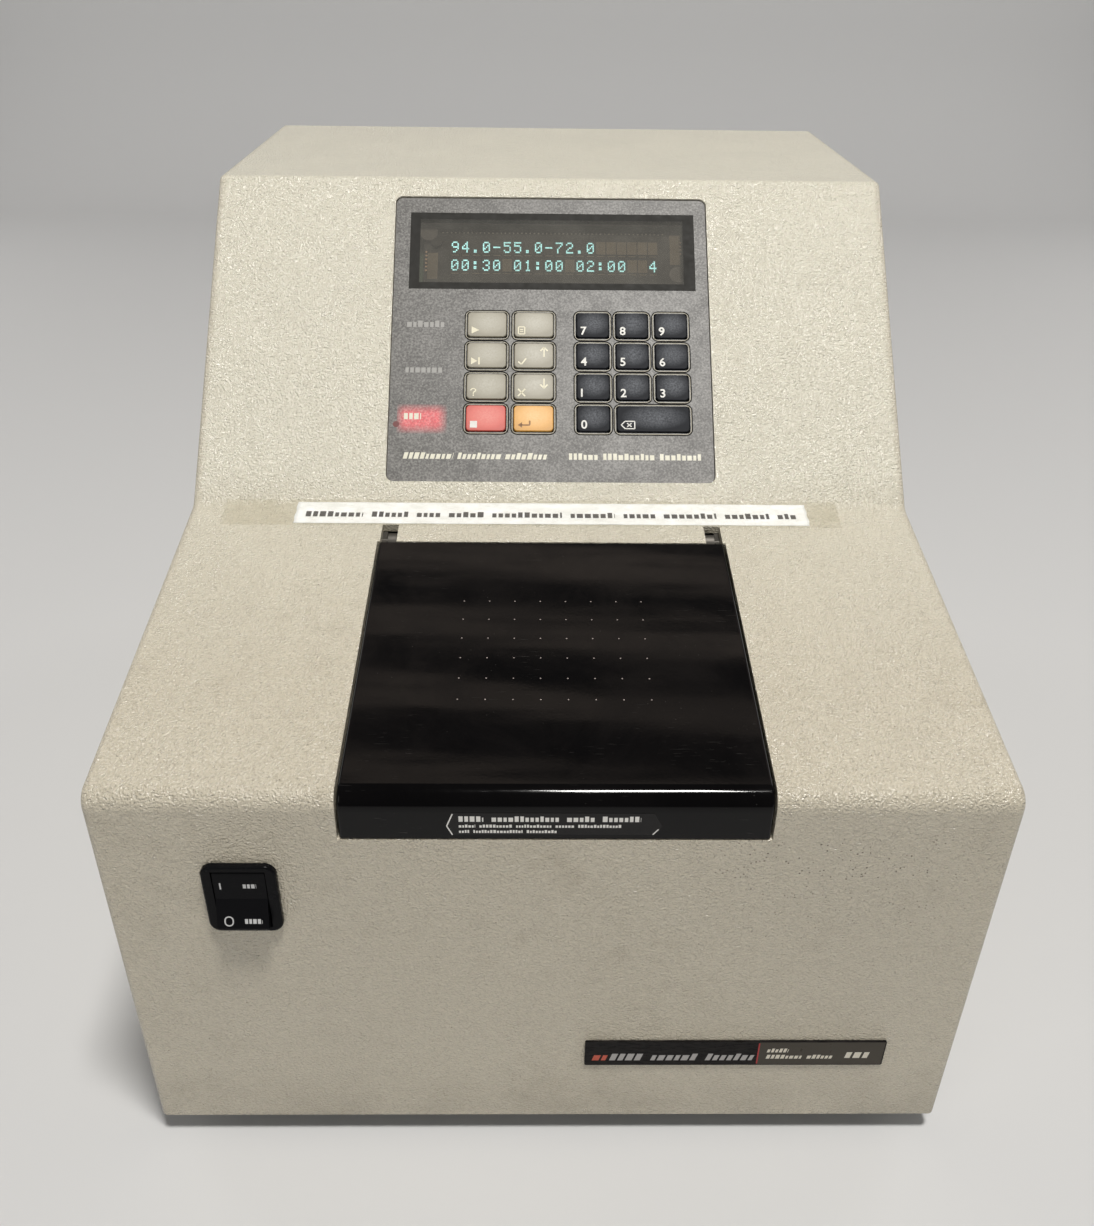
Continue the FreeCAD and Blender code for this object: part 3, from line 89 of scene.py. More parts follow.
shell_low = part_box("housing_shell")[0]
deck = Slope(shell_low.y, shell_low.z + FRONT_HEIGHT, DECK_TILT)
foot = deck.at(0, DECK_LENGTH)
console = Slope(foot.y, foot.z, CONSOLE_TILT)


class Wall:
    """The upright front face: x across, s up from the floor, n towards the operator."""

    def at(self, x, s, n=0.0):
        return Vector((x, shell_low.y - n, s))


front = Wall()


# ---- shader helpers
class Shader:
    """A material being built: keeps the node tree, the main shader and the coordinates."""

    def __init__(self, name):
        self.material = bpy.data.materials.new(name)
        self.material.use_nodes = True
        self.tree = self.material.node_tree
        self.bsdf = self.tree.nodes["Principled BSDF"]
        self.output = self.tree.nodes["Material Output"]
        self.coords = self.node("ShaderNodeTexCoord").outputs["Object"]

    def node(self, kind, inputs=None, **settings):
        made = self.tree.nodes.new(kind)
        for key, value in settings.items():
            setattr(made, key, value)
        for key, value in (inputs or {}).items():
            self.feed(made.inputs[key], value)
        return made

    def feed(self, socket, value):
        if isinstance(value, bpy.types.NodeSocket):
            self.tree.links.new(value, socket)
        elif hasattr(value, "__len__") and len(value) == 3 and socket.type == "RGBA":
            socket.default_value = (*value, 1)
        else:
            socket.default_value = value

    def set(self, **inputs):
        for key, value in inputs.items():
            self.feed(self.bsdf.inputs[key.replace("_", " ")], value)

    def stretch(self, factors, turn=0.0):
        """The coordinates scaled by a factor per axis, for grain that runs one way."""
        made = self.node("ShaderNodeMapping", {"Vector": self.coords, "Scale": factors})
        made.inputs["Rotation"].default_value = (turn, 0, 0)
        return made.outputs["Vector"]

    def noise(self, size, detail=3.0, rough=0.55, vector=None, warp=0.0):
        made = self.node("ShaderNodeTexNoise", {
            "Vector": vector or self.coords, "Scale": 1 / size, "Detail": detail,
            "Roughness": rough, "Distortion": warp})
        return made.outputs["Fac"]

    def cells(self, size, feature="F1", output="Distance", vector=None, jitter=1.0):
        made = self.node("ShaderNodeTexVoronoi", {
            "Vector": vector or self.coords, "Scale": 1 / size, "Randomness": jitter}, feature=feature)
        return made.outputs[output]

    def span(self, value, low, high, to_low=0.0, to_high=1.0):
        """Maps low..high to to_low..to_high and clamps."""
        made = self.node("ShaderNodeMapRange", {
            "Value": value, "From Min": low, "From Max": high, "To Min": to_low, "To Max": to_high})
        return made.outputs["Result"]

    def math(self, operation, first, second=0.0):
        made = self.node("ShaderNodeMath", operation=operation)
        self.feed(made.inputs[0], first)
        self.feed(made.inputs[1], second)
        return made.outputs[0]

    def times(self, *values):
        product = values[0]
        for value in values[1:]:
            product = self.math("MULTIPLY", product, value)
        return product

    def mix(self, fac, first, second):
        made = self.node("ShaderNodeMix", data_type="RGBA")
        self.feed(made.inputs[0], fac)
        self.feed(made.inputs[6], first)
        self.feed(made.inputs[7], second)
        return made.outputs[2]

    def axis(self, name):
        made = self.node("ShaderNodeSeparateXYZ", {"Vector": self.coords})
        return made.outputs[name]

    def band(self, value, low, high, soft):
        """1 between low and high, fading to 0 over soft on both sides."""
        rise = self.span(value, low - soft, low)
        fall = self.span(value, high, high + soft, 1.0, 0.0)
        return self.times(rise, fall)

    def bump(self, height, depth, strength=1.0, over=None):
        made = self.node("ShaderNodeBump", {"Height": height, "Distance": depth, "Strength": strength})
        if over is not None:
            self.feed(made.inputs["Normal"], over)
        return made.outputs["Normal"]


def shade(colour, factor):
    """A colour made darker or lighter by a factor."""
    return tuple(min(1.0, c * factor) for c in colour)


# ---- material families
def moulded(name, colour, grain=0.9 * MM, depth=0.05 * MM, rough=0.45, tone=0.06, dirt=0.15,
            dirt_colour=(0.10, 0.085, 0.06), specular=0.5):
    """Textured plastic: pebble grain, slow tone drift, grime in patches and uneven sheen."""
    made = Shader(name)
    drift = made.noise(60 * MM, 4)
    fine = made.noise(grain, 2, 0.5)
    base = made.mix(drift, shade(colour, 1 - tone), shade(colour, 1 + tone))
    base = made.mix(made.span(fine, 0.35, 0.7, 0, 0.5), base, shade(colour, 1 - 2.2 * tone))
    patch = made.span(made.noise(25 * MM, 6, 0.65), 0.5, 0.75, 0, dirt)
    made.set(Base_Color=made.mix(patch, base, dirt_colour))
    sheen = made.noise(18 * MM, 5, 0.6)
    made.set(Roughness=made.span(sheen, 0.3, 0.7, rough - 0.06, rough + 0.08))
    made.set(Normal=made.bump(fine, depth), Specular_IOR_Level=specular)
    return made


def sheet_metal(name, colour, rough=0.35, brushed=(1, 40, 40), spangle=0.0):
    """Metal sheet with grain lines, stains and small scratches."""
    made = Shader(name)
    lines = made.noise(12 * MM, 4, 0.6, made.stretch(brushed))
    stain = made.noise(30 * MM, 5, 0.6)
    base = made.mix(made.span(lines, 0.3, 0.7), shade(colour, 0.86), shade(colour, 1.08))
    if spangle:
        patch = made.cells(9 * MM, output="Color")
        flakes = made.mix(made.span(patch, 0, 1), shade(colour, 0.7), shade(colour, 1.2))
        base = made.mix(spangle, base, flakes)
    base = made.mix(made.span(stain, 0.52, 0.8, 0, 0.5), base, shade(colour, 0.55))
    scratch = made.span(made.noise(6 * MM, 2, 0.5, made.stretch((4, 60, 7), 0.6)), 0.66, 0.70, 0, 0.5)
    made.set(Base_Color=made.mix(scratch, base, shade(colour, 1.3)), Metallic=1.0)
    made.set(Roughness=made.span(stain, 0.3, 0.75, rough - 0.08, rough + 0.18))
    made.set(Normal=made.bump(lines, 0.01 * MM, 0.6))
    return made


def soft_rubber(name, colour, rough=0.75, grain=0.5 * MM):
    """Matt rubber with bloom, dust and a faint grain."""
    made = Shader(name)
    bloom = made.noise(10 * MM, 5, 0.65)
    fine = made.noise(grain, 2)
    dusty = made.mix(made.span(bloom, 0.45, 0.75, 0, 0.35), colour, (0.25, 0.24, 0.22))
    made.set(Base_Color=made.mix(made.span(fine, 0.4, 0.7, 0, 0.2), dusty, shade(colour, 0.6)))
    made.set(Roughness=made.span(bloom, 0.3, 0.7, rough - 0.12, min(0.95, rough + 0.1)))
    made.set(Normal=made.bump(fine, 0.03 * MM))
    return made


def key_cap(name, colour, worn, rough=0.38, specular=0.5):
    """Satin plastic, paler and shinier in the middle, partly from wear and partly as a painted sheen, and
    darker towards its edges as painted shade.
    """
    made = Shader(name)
    generated = made.node("ShaderNodeTexCoord").outputs["Generated"]
    centred = made.node("ShaderNodeMapping", {"Vector": generated, "Location": (-0.52, -0.55, -0.55)})
    reach = made.node("ShaderNodeVectorMath", {0: centred.outputs["Vector"]}, operation="LENGTH")
    centre_wear_and_sheen = made.span(reach.outputs["Value"], 0.05, 0.52, 1.0, 0.0)
    mottle = made.noise(0.8 * MM, 3, 0.6)
    wear_and_sheen = made.times(centre_wear_and_sheen, made.span(mottle, 0.3, 0.7, 0.25, 1.0))
    fine = made.noise(0.35 * MM, 2)
    # painted shade: the cap darkens towards its edges
    edge = made.span(reach.outputs["Value"], 0.45, 0.75, 0, 0.75)
    base = made.mix(edge, colour, shade(colour, 0.55))
    base = made.mix(made.span(fine, 0.35, 0.65, 0, 0.25), base, shade(colour, 0.72))
    # the worn colour in the middle is partly real wear and partly a painted sheen
    made.set(Base_Color=made.mix(made.times(wear_and_sheen, 0.75), base, worn))
    made.set(Roughness=made.span(wear_and_sheen, 0, 1, rough + 0.1, rough - 0.1))
    made.set(Specular_IOR_Level=specular)
    made.set(Normal=made.bump(fine, 0.012 * MM))
    return made


def ink(name, colour, rough=0.5, chips=0.5, specular=0.5):
    """The material of printed ink: slightly uneven, with small worn spots."""
    made = Shader(name)
    worn = made.span(made.noise(0.8 * MM, 4, 0.7), 0.58, 0.72, 0, chips)
    made.set(Base_Color=made.mix(worn, colour, shade(colour, 0.6)))
    made.set(Roughness=made.span(made.noise(3 * MM), 0.3, 0.7, rough - 0.08, rough + 0.08))
    made.set(Normal=made.bump(worn, 0.01 * MM), Specular_IOR_Level=specular)
    return made.material


# ---- materials by slot
CREAM = (0.672, 0.607, 0.476)
# paler cream painted on the console and top as painted light
PAINTED_LIGHT_CREAM = (0.84, 0.80, 0.665)


def housing_material():
    """Cream structural foam under a stippled paint, with smears, grime low down, dark specks and painted
    light on the console and top.
    """
    made = Shader("housing")
    peel = made.noise(0.95 * MM, 1.5, 0.5)
    fine = made.noise(0.62 * MM, 1, 0.5)
    drift = made.noise(110 * MM, 3)
    base = made.mix(drift, shade(CREAM, 0.95), shade(CREAM, 1.05))
    base = made.mix(made.span(peel, 0.34, 0.48, 0.35, 0), base, shade(CREAM, 0.82))
    base = made.mix(made.span(peel, 0.55, 0.7, 0, 0.4), base, shade(CREAM, 1.10))
    base = made.mix(made.span(fine, 0.3, 0.48, 0.45, 0), base, shade(CREAM, 0.74))
    smear = made.times(made.noise(70 * MM, 6, 0.7), made.noise(14 * MM, 5, 0.7))
    base = made.mix(made.span(smear, 0.27, 0.42, 0, 0.22), base, (0.33, 0.27, 0.18))
    # painted light: the console and top are made paler than the front and deck, in place of their sheen and
    # brighter lighting
    x, y, z = made.axis("X"), made.axis("Y"), made.axis("Z")
    between_sides = made.span(made.math("ABSOLUTE", x), 167 * MM, 171 * MM, 1, 0)
    painted_upper_light = made.times(made.span(z, 204 * MM, 236 * MM, 0, 0.9), between_sides)
    base = made.mix(painted_upper_light, base, PAINTED_LIGHT_CREAM)
    # dark specks gather on the right, just under the deck's front edge
    beside = made.band(x, 75 * MM, 140 * MM, 35 * MM)
    ahead = made.span(y, shell_low.y + 8 * MM, shell_low.y + 2 * MM)
    high = made.times(made.span(z, 105 * MM, 165 * MM), made.span(z, 180 * MM, 173 * MM))
    speck = made.cells(1.9 * MM)
    dots = made.span(speck, 0.14, 0.26, 1, 0)
    chosen = made.span(made.noise(6 * MM, 4, 0.7), 0.46, 0.56)
    specks = made.times(dots, chosen, beside, ahead, high)
    stray = made.times(made.span(made.cells(9 * MM), 0.025, 0.045, 1, 0), 0.6)
    base = made.mix(made.math("MAXIMUM", specks, stray), base, (0.15, 0.12, 0.085))
    # grime gathers along the bottom edge
    grime = made.span(made.noise(30 * MM, 5), 0.35, 0.7, 0.1, 0.45)
    low = made.times(made.span(z, 45 * MM, 13 * MM), grime)
    made.set(Base_Color=made.mix(low, base, (0.28, 0.24, 0.17)))
    made.set(Roughness=made.span(made.noise(40 * MM, 5, 0.6), 0.3, 0.7, 0.17, 0.23))
    made.set(Specular_IOR_Level=1.0, IOR=1.58)
    stipple = made.bump(peel, 1.15 * MM)
    made.set(Normal=made.bump(fine, 0.42 * MM, 1.0, stipple))
    return made


def lid_material():
    """Gloss black moulding with fine scratches, finger smears and a little dust."""
    made = Shader("lid_gloss")
    smear = made.noise(45 * MM, 6, 0.7, warp=0.6)
    fine = made.noise(1.2 * MM, 3)
    dust = made.span(made.cells(3.4 * MM), 0.03, 0.055, 1, 0)
    few = made.span(made.noise(20 * MM, 3), 0.5, 0.62)
    hair = made.noise(9 * MM, 2, 0.5, made.stretch((1.2, 46, 20), 0.35), warp=0.4)
    line = made.times(made.span(hair, 0.705, 0.72), made.span(made.noise(28 * MM, 2), 0.5, 0.6))
    base = made.mix(made.span(smear, 0.4, 0.75), (0.0018, 0.0015, 0.0016), (0.0040, 0.0034, 0.0035))
    base = made.mix(made.times(dust, few, 0.5), base, (0.14, 0.13, 0.12))
    made.set(Base_Color=made.mix(made.times(line, 0.4), base, (0.10, 0.095, 0.09)))
    sheen = made.span(smear, 0.35, 0.75, 0.05, 0.13)
    made.set(Roughness=made.math("ADD", sheen, made.times(line, 0.3)), Specular_IOR_Level=0.22)
    wave = made.noise(30 * MM, 2, 0.5, made.stretch((0.25, 1, 1)))
    made.set(Normal=made.bump(wave, 0.35 * MM, 0.5, made.bump(fine, 0.004 * MM)))
    return made


def panel_material(name="keypad_panel"):
    """Dark warm grey keypad film, mottled by fingers, paler where it is touched."""
    made = Shader(name)
    mottle = made.noise(13 * MM, 8, 0.78)
    fine = made.noise(1.0 * MM, 2, 0.6)
    base = made.mix(made.span(mottle, 0.36, 0.64), (0.095, 0.091, 0.084), (0.195, 0.188, 0.176))
    base = made.mix(made.span(fine, 0.5, 0.66, 0, 0.85), base, (0.070, 0.066, 0.060))
    base = made.mix(made.span(fine, 0.34, 0.5, 0.7, 0), base, (0.285, 0.276, 0.258))
    scuff = made.noise(4 * MM, 3, 0.6, made.stretch((3, 25, 25), 0.3))
    base = made.mix(made.span(scuff, 0.62, 0.74, 0, 0.25), base, (0.31, 0.30, 0.285))
    made.set(Base_Color=base)
    made.set(Roughness=made.span(mottle, 0.3, 0.7, 0.47, 0.42), Specular_IOR_Level=0.42)
    made.set(Normal=made.bump(fine, 0.05 * MM))
    return made


def window_material():
    """Smoked clear plastic: a tinted see-through sheet with a glossy, dusty surface."""
    made = Shader("smoked_window")
    smear = made.noise(22 * MM, 6, 0.7)
    tint = made.mix(made.span(smear, 0.3, 0.75), (0.90, 0.88, 0.85), (0.80, 0.78, 0.74))
    clear = made.node("ShaderNodeBsdfTransparent", {"Color": tint})
    film = made.mix(made.span(smear, 0.4, 0.7), (0.20, 0.195, 0.178), (0.27, 0.262, 0.238))
    made.set(Base_Color=film, Roughness=made.span(smear, 0.3, 0.7, 0.5, 0.62), Specular_IOR_Level=0.15)
    made.set(Normal=made.bump(made.noise(0.6 * MM, 2), 0.003 * MM))
    dust = made.span(made.cells(2.4 * MM), 0.05, 0.09, 0.5, 0)
    cover = made.math("MAXIMUM", made.span(smear, 0.3, 0.8, 0.24, 0.34), dust)
    mixed = made.node("ShaderNodeMixShader", {0: cover, 1: clear.outputs[0], 2: made.bsdf.outputs[0]})
    made.tree.links.new(mixed.outputs[0], made.output.inputs["Surface"])
    return made


def tube_material():
    """Face of the vacuum tube: near-black glass with a brownish getter bloom."""
    made = Shader("display_glass")
    bloom = made.noise(16 * MM, 5, 0.6)
    glass = made.mix(made.span(bloom, 0.35, 0.75), (0.040, 0.039, 0.036), (0.075, 0.070, 0.060))
    made.set(Base_Color=glass)
    made.set(Roughness=made.span(made.noise(5 * MM), 0.3, 0.7, 0.4, 0.55), Specular_IOR_Level=0.2)
    made.set(Normal=made.bump(made.noise(9 * MM, 2), 0.01 * MM))
    return made


def lamp_material():
    """Lenses that match the panel while dark. The lowest glows red with soft edges."""
    made = panel_material("lamp_lens")
    low, high = console.extent("indicator_lamps")
    lit_low, lit_high = low.y - 0.5 * MM, low.y + 13.5 * MM
    offset = made.node("ShaderNodeVectorMath", {0: made.coords, 1: tuple(console.start)},
                       operation="SUBTRACT")
    climb = made.node("ShaderNodeVectorMath", {0: offset.outputs["Vector"], 1: tuple(console.up)},
                      operation="DOT_PRODUCT").outputs["Value"]
    edge = 5 * MM
    across = made.band(made.axis("X"), low.x + 2 * MM, high.x - 4 * MM, edge)
    along = made.band(climb, lit_low + 4 * MM, lit_high - 4 * MM, edge)
    grain = made.span(made.noise(1.1 * MM, 3), 0.3, 0.7, 0.75, 1.1)
    glow = made.times(across, along, grain)
    made.set(Emission_Color=(0.80, 0.018, 0.04), Emission_Strength=made.times(glow, 0.78))
    return made


def circuit_material():
    """Green solder resist with copper tracks showing through."""
    made = Shader("circuit_board")
    tracks = made.cells(3 * MM, "DISTANCE_TO_EDGE", jitter=0.3)
    resist = made.mix(made.noise(12 * MM, 4), (0.010, 0.075, 0.028), (0.018, 0.11, 0.04))
    made.set(Base_Color=made.mix(made.span(tracks, 0.04, 0.09, 0.8, 0), resist, (0.05, 0.16, 0.06)))
    made.set(Roughness=made.span(made.noise(6 * MM), 0.3, 0.7, 0.28, 0.45))
    made.set(Normal=made.bump(tracks, 0.03 * MM))
    return made


def foam_material():
    """Grey closed-cell foam with small pits and dusty patches."""
    made = Shader("foam_grey")
    pits = made.cells(1.3 * MM)
    dust = made.noise(20 * MM, 5)
    made.set(Base_Color=made.mix(made.span(pits, 0.1, 0.5), (0.05, 0.05, 0.052),
                                 made.mix(dust, (0.16, 0.16, 0.165), (0.24, 0.24, 0.235))))
    made.set(Roughness=made.span(dust, 0.3, 0.7, 0.85, 0.95), Normal=made.bump(pits, 0.25 * MM))
    return made


def block_material():
    """Machined aluminium block with tool lines along X and dull stains."""
    return sheet_metal("block_aluminium", (0.62, 0.62, 0.63), 0.34, (1, 30, 30))


def inlet_material():
    """Black connector body; the three pins in its recess are plated metal."""
    made = moulded("connector_black", (0.022, 0.022, 0.023), 0.4 * MM, 0.02 * MM, 0.42)
    low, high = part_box("power_inlet")
    middle_x, middle_z = (low.x + high.x) / 2, (low.z + high.z) / 2
    behind = made.span(made.axis("Y"), high.y - 7.2 * MM, high.y - 7.4 * MM)
    pins = None
    half_width, half_height, soft = 1.05 * MM, 2.05 * MM, 0.02 * MM
    for x, z in ((-7 * MM, -2 * MM), (0, 2 * MM), (7 * MM, -2 * MM)):
        pin_x, pin_z = middle_x + x, middle_z + z
        beside = made.band(made.axis("X"), pin_x - half_width, pin_x + half_width, soft)
        level = made.band(made.axis("Z"), pin_z - half_height, pin_z + half_height, soft)
        pin = made.times(beside, level, behind)
        pins = pin if pins is None else made.math("MAXIMUM", pins, pin)
    made.set(Metallic=pins)
    body = made.bsdf.inputs["Base Color"].links[0].from_socket
    made.set(Base_Color=made.mix(pins, body, (0.66, 0.60, 0.48)))
    return made


def badge_material():
    """Printed strip: satin black film with faint rubbing."""
    made = Shader("badge_strip")
    rub = made.noise(6 * MM, 5, 0.65, made.stretch((1, 5, 5)))
    made.set(Base_Color=made.mix(made.span(rub, 0.4, 0.75), (0.006, 0.005, 0.005), (0.022, 0.019, 0.018)))
    made.set(Roughness=made.span(rub, 0.3, 0.7, 0.22, 0.38), Specular_IOR_Level=0.08)
    made.set(Normal=made.bump(made.noise(0.7 * MM), 0.006 * MM))
    return made


def fin_material():
    """Folded aluminium fins with a grain along Z."""
    return sheet_metal("fin_aluminium", (0.60, 0.60, 0.61), 0.4, (30, 30, 1))


def tank_material():
    """Milky polythene, slightly translucent."""
    made = moulded("tank_plastic", (0.62, 0.64, 0.60), 1.5 * MM, 0.02 * MM, 0.35, dirt=0.05)
    made.set(Subsurface_Weight=0.2, Subsurface_Radius=(0.004, 0.004, 0.004))
    return made


MATERIALS = {
    "housing": housing_material,
    "zinc_sheet": lambda: sheet_metal("zinc_sheet", (0.50, 0.51, 0.51), 0.42, (6, 6, 6), 0.3),
    "rear_paint": lambda: moulded("rear_paint", (0.52, 0.48, 0.37), 1.1 * MM, 0.05 * MM, 0.45, dirt=0.25),
    "foot_rubber": lambda: soft_rubber("foot_rubber", (0.018, 0.018, 0.018)),
    "screw_steel": lambda: sheet_metal("screw_steel", (0.52, 0.52, 0.51), 0.3, (20, 20, 20)),
    "badge_strip": badge_material,
    "lid_gloss": lid_material,
    "foam_grey": foam_material,
    "plate_aluminium": lambda: sheet_metal("plate_aluminium", (0.68, 0.68, 0.69), 0.3),
    "hinge_steel": lambda: sheet_metal("hinge_steel", (0.15, 0.14, 0.125), 0.5, (20, 20, 20)),
    "block_aluminium": block_material,
    "seal_rubber": lambda: soft_rubber("seal_rubber", (0.02, 0.02, 0.02), 0.65),
    "heater_pad": lambda: soft_rubber("heater_pad", (0.42, 0.10, 0.03), 0.6),
    "keypad_panel": panel_material,
    "smoked_window": window_material,
    "display_glass": tube_material,
    "circuit_board": circuit_material,
    "lamp_lens": lamp_material,
    "switch_black": lambda: moulded("switch_black", (0.005, 0.005, 0.006), 0.5 * MM, 0.01 * MM, 0.22,
                                    dirt=0.02, specular=0.08),
    "rocker_black": lambda: moulded("rocker_black", (0.004, 0.004, 0.005), 0.6 * MM, 0.008 * MM, 0.2,
                                    dirt=0.02, specular=0.08),
    "connector_black": inlet_material,
    "connector_steel": lambda: sheet_metal("connector_steel", (0.58, 0.56, 0.50), 0.28, (20, 20, 20)),
    "fan_black": lambda: moulded("fan_black", (0.018, 0.018, 0.02), 0.7 * MM, 0.02 * MM, 0.45, dirt=0.35,
                                 dirt_colour=(0.14, 0.13, 0.12)),
    "fin_aluminium": fin_material,
    "compressor_paint": lambda: moulded("compressor_paint", (0.014, 0.014, 0.014), 2 * MM, 0.03 * MM, 0.3),
    "transformer_steel": lambda: sheet_metal("transformer_steel", (0.16, 0.13, 0.11), 0.5, (40, 1, 40)),
    "ribbon_grey": lambda: moulded("ribbon_grey", (0.19, 0.20, 0.22), 1.3 * MM, 0.05 * MM, 0.5),
    "tank_plastic": tank_material,
    "hose_rubber": lambda: soft_rubber("hose_rubber", (0.03, 0.03, 0.03), 0.55),
    # each key's second colour is its pale centre: partly wear, partly a painted sheen
    "key_beige": lambda: key_cap("key_beige", (0.36, 0.33, 0.25), (0.60, 0.585, 0.50)),
    "key_red": lambda: key_cap("key_red", (0.74, 0.12, 0.09), (0.82, 0.32, 0.24)),
    "key_amber": lambda: key_cap("key_amber", (0.84, 0.43, 0.09), (0.92, 0.64, 0.27)),
    "key_dark": lambda: key_cap("key_dark", (0.010, 0.012, 0.017), (0.36, 0.38, 0.42), 0.5, 0.2),
}


def paint_frame():
    """Gives each CAD node the material of its slot."""
    built = {slot: make().material for slot, make in MATERIALS.items()}
    slot_of = {row["node"]: row["material_slot"] for row in frame["record"]["subparts"]}
    for name, obj in NODES.items():
        obj.data.materials.clear()
        obj.data.materials.append(built[slot_of[name]])
        for face in obj.data.polygons:
            face.material_index = 0


# ---- flat marks
class Marks:
    """Collects flat shapes drawn on a surface and makes one thin mesh of them."""

    def __init__(self, surface, n):
        self.surface, self.n = surface, n
        self.mesh = bmesh.new()

    def polygon(self, points, lift=0.0):
        verts = [self.mesh.verts.new(self.surface.at(x, s, self.n + lift)) for x, s in points]
        self.mesh.faces.new(verts)

    def bar(self, x, s, width, height):
        """A filled bar whose lower left corner is at (x, s)."""
        self.polygon([(x, s), (x + width, s), (x + width, s + height), (x, s + height)])

    def frame(self, outer, inner):
        """Four bars between two rectangles, each given as low x, low s, high x, high s."""
        self.bar(outer[0], outer[1], outer[2] - outer[0], inner[1] - outer[1])
        self.bar(outer[0], inner[3], outer[2] - outer[0], outer[3] - inner[3])
        self.bar(outer[0], inner[1], inner[0] - outer[0], inner[3] - inner[1])
        self.bar(inner[2], inner[1], outer[2] - inner[2], inner[3] - inner[1])

    def disc(self, x, s, radius, sides=20):
        turns = [2 * math.pi / sides * i for i in range(sides)]
        self.polygon([(x + radius * math.cos(a), s + radius * math.sin(a)) for a in turns])

    def outline(self, points, width):
        """A band of the given width just outside a closed convex outline."""
        centre = Vector((sum(p[0] for p in points), sum(p[1] for p in points))) / len(points)
        count = len(points)
        outer = []
        for i in range(count):
            before, after = Vector(points[i - 1]), Vector(points[(i + 1) % count])
            along = (after - before).normalized()
            normal = Vector((along.y, -along.x))
            here = Vector(points[i])
            outer.append(here + normal * (width if normal.dot(here - centre) > 0 else -width))
        for i in range(count):
            j = (i + 1) % count
            self.polygon([points[i], outer[i], outer[j], points[j]])

    def stroke(self, points, width):
        """An open line of the given width through the points."""
        for first, second in zip(points, points[1:]):
            a, b = Vector(first), Vector(second)
            side = Vector((-(b - a).y, (b - a).x)).normalized() * (width / 2)
            self.polygon([a - side, b - side, b + side, a + side])

    def words(self, x, s, height, lengths, gap=None, slant=0.0, seed=5):
        """Letter-sized blocks of two heights in place of printed words."""
        dice = random.Random(seed)
        for length in lengths:
            end = x + length
            while x < end:
                width = min(height * dice.uniform(0.38, 0.62), end - x)
                tall = height * dice.choice((0.7, 0.7, 0.9))
                self.polygon([(x, s), (x + width, s), (x + width + slant * tall, s + tall),
                              (x + slant * tall, s + tall)])
                x += width + 0.2 * height
            x += gap or height

    def figure(self, text, x, s, height):
        """Figures in the plain built-in font, with their lower left corner at (x, s)."""
        curve = bpy.data.curves.new("figure", "FONT")
        curve.body = text
        curve.size = height / 0.72
        curve.offset = 0.02 * curve.size
        holder = bpy.data.objects.new("figure", curve)
        link(holder)
        bpy.context.view_layer.update()
        drawn = bpy.data.meshes.new_from_object(holder.evaluated_get(bpy.context.evaluated_depsgraph_get()))
        left = min(v.co.x for v in drawn.vertices)
        spots = [self.mesh.verts.new(self.surface.at(x + v.co.x - left, s + v.co.y, self.n))
                 for v in drawn.vertices]
        for face in drawn.polygons:
            self.mesh.faces.new([spots[i] for i in face.vertices])
        bpy.data.objects.remove(holder)
        bpy.data.curves.remove(curve)
        bpy.data.meshes.remove(drawn)

    def piece(self, name, material, body="housing"):
        return add_piece(name, self.mesh, material, body)


def add_piece(name, mesh, material, body):
    """Turns a bmesh into a piece that rides on a CAD body."""
    data = bpy.data.meshes.new(name)
    mesh.to_mesh(data)
    mesh.free()
    data.materials.append(material)
    made = bpy.data.objects.new(name, data)
    link(made)
    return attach(made, body)


def rounded(x, s, width, height, radius, steps=5):
    """The outline of a rounded rectangle about the centre (x, s), anticlockwise."""
    points = []
    for quarter, (sx, sy) in enumerate(((1, 1), (-1, 1), (-1, -1), (1, -1))):
        cx, cy = x + sx * (width / 2 - radius), s + sy * (height / 2 - radius)
        for i in range(steps + 1):
            angle = math.pi / 2 * (quarter + i / steps)
            points.append((cx + radius * math.cos(angle), cy + radius * math.sin(angle)))
    return points


# ---- keys and keypad print
KEY_SKIRT = 1.25 * MM
LIFT = 0.03 * MM
FIGURE_HEIGHT = 4.4 * MM


def key_face(key):
    """Centre x, centre s, width, height and top n of a key's cap."""
    low, high = console.extent(key)
    return ((low.x + high.x) / 2, (low.y + high.y) / 2, high.x - low.x - 2 * KEY_SKIRT,
            high.y - low.y - 2 * KEY_SKIRT, high.z)


def draw_start(marks, x, s, size):
    marks.polygon([(x, s), (x + size, s + size / 2), (x, s + size)])


def draw_file(marks, x, s, size):
    right, top = x + size * 0.8, s + size
    marks.stroke([(x, s), (x, top), (right, top), (right, s), (x, s)], size * 0.16)
    marks.bar(x + size * 0.2, s + size * 0.55, size * 0.4, size * 0.14)
    marks.bar(x + size * 0.2, s + size * 0.28, size * 0.4, size * 0.14)


def draw_step(marks, x, s, size):
    marks.polygon([(x, s), (x + size * 0.8, s + size / 2), (x, s + size)])
    marks.bar(x + size * 0.9, s, size * 0.22, size)


def draw_yes(marks, x, s, size):
    tick = [(x, s + size * 0.45), (x + size * 0.4, s + size * 0.08), (x + size, s + size * 0.9)]
    marks.stroke(tick, size * 0.2)


def draw_no(marks, x, s, size):
    marks.stroke([(x, s), (x + size * 0.9, s + size)], size * 0.2)
    marks.stroke([(x, s + size), (x + size * 0.9, s)], size * 0.2)


def draw_help(marks, x, s, size):
    hook = ((0, 0.72), (0.12, 0.92), (0.38, 1), (0.62, 0.9), (0.66, 0.68), (0.38, 0.48), (0.36, 0.26))
    marks.stroke([(x + a * size, s + b * size) for a, b in hook], size * 0.16)
    marks.disc(x + 0.36 * size, s + 0.08 * size, size * 0.1)


def draw_stop(marks, x, s, size):
    marks.bar(x, s, size * 0.9, size * 0.9)


def draw_enter(marks, x, s, size):
    right = x + size * 1.5
    marks.stroke([(right, s + size), (right, s + size * 0.4), (x + size * 0.3, s + size * 0.4)], size * 0.2)
    back = x + size * 0.55
    marks.polygon([(x, s + size * 0.4), (back, s + size * 0.02), (back, s + size * 0.78)])


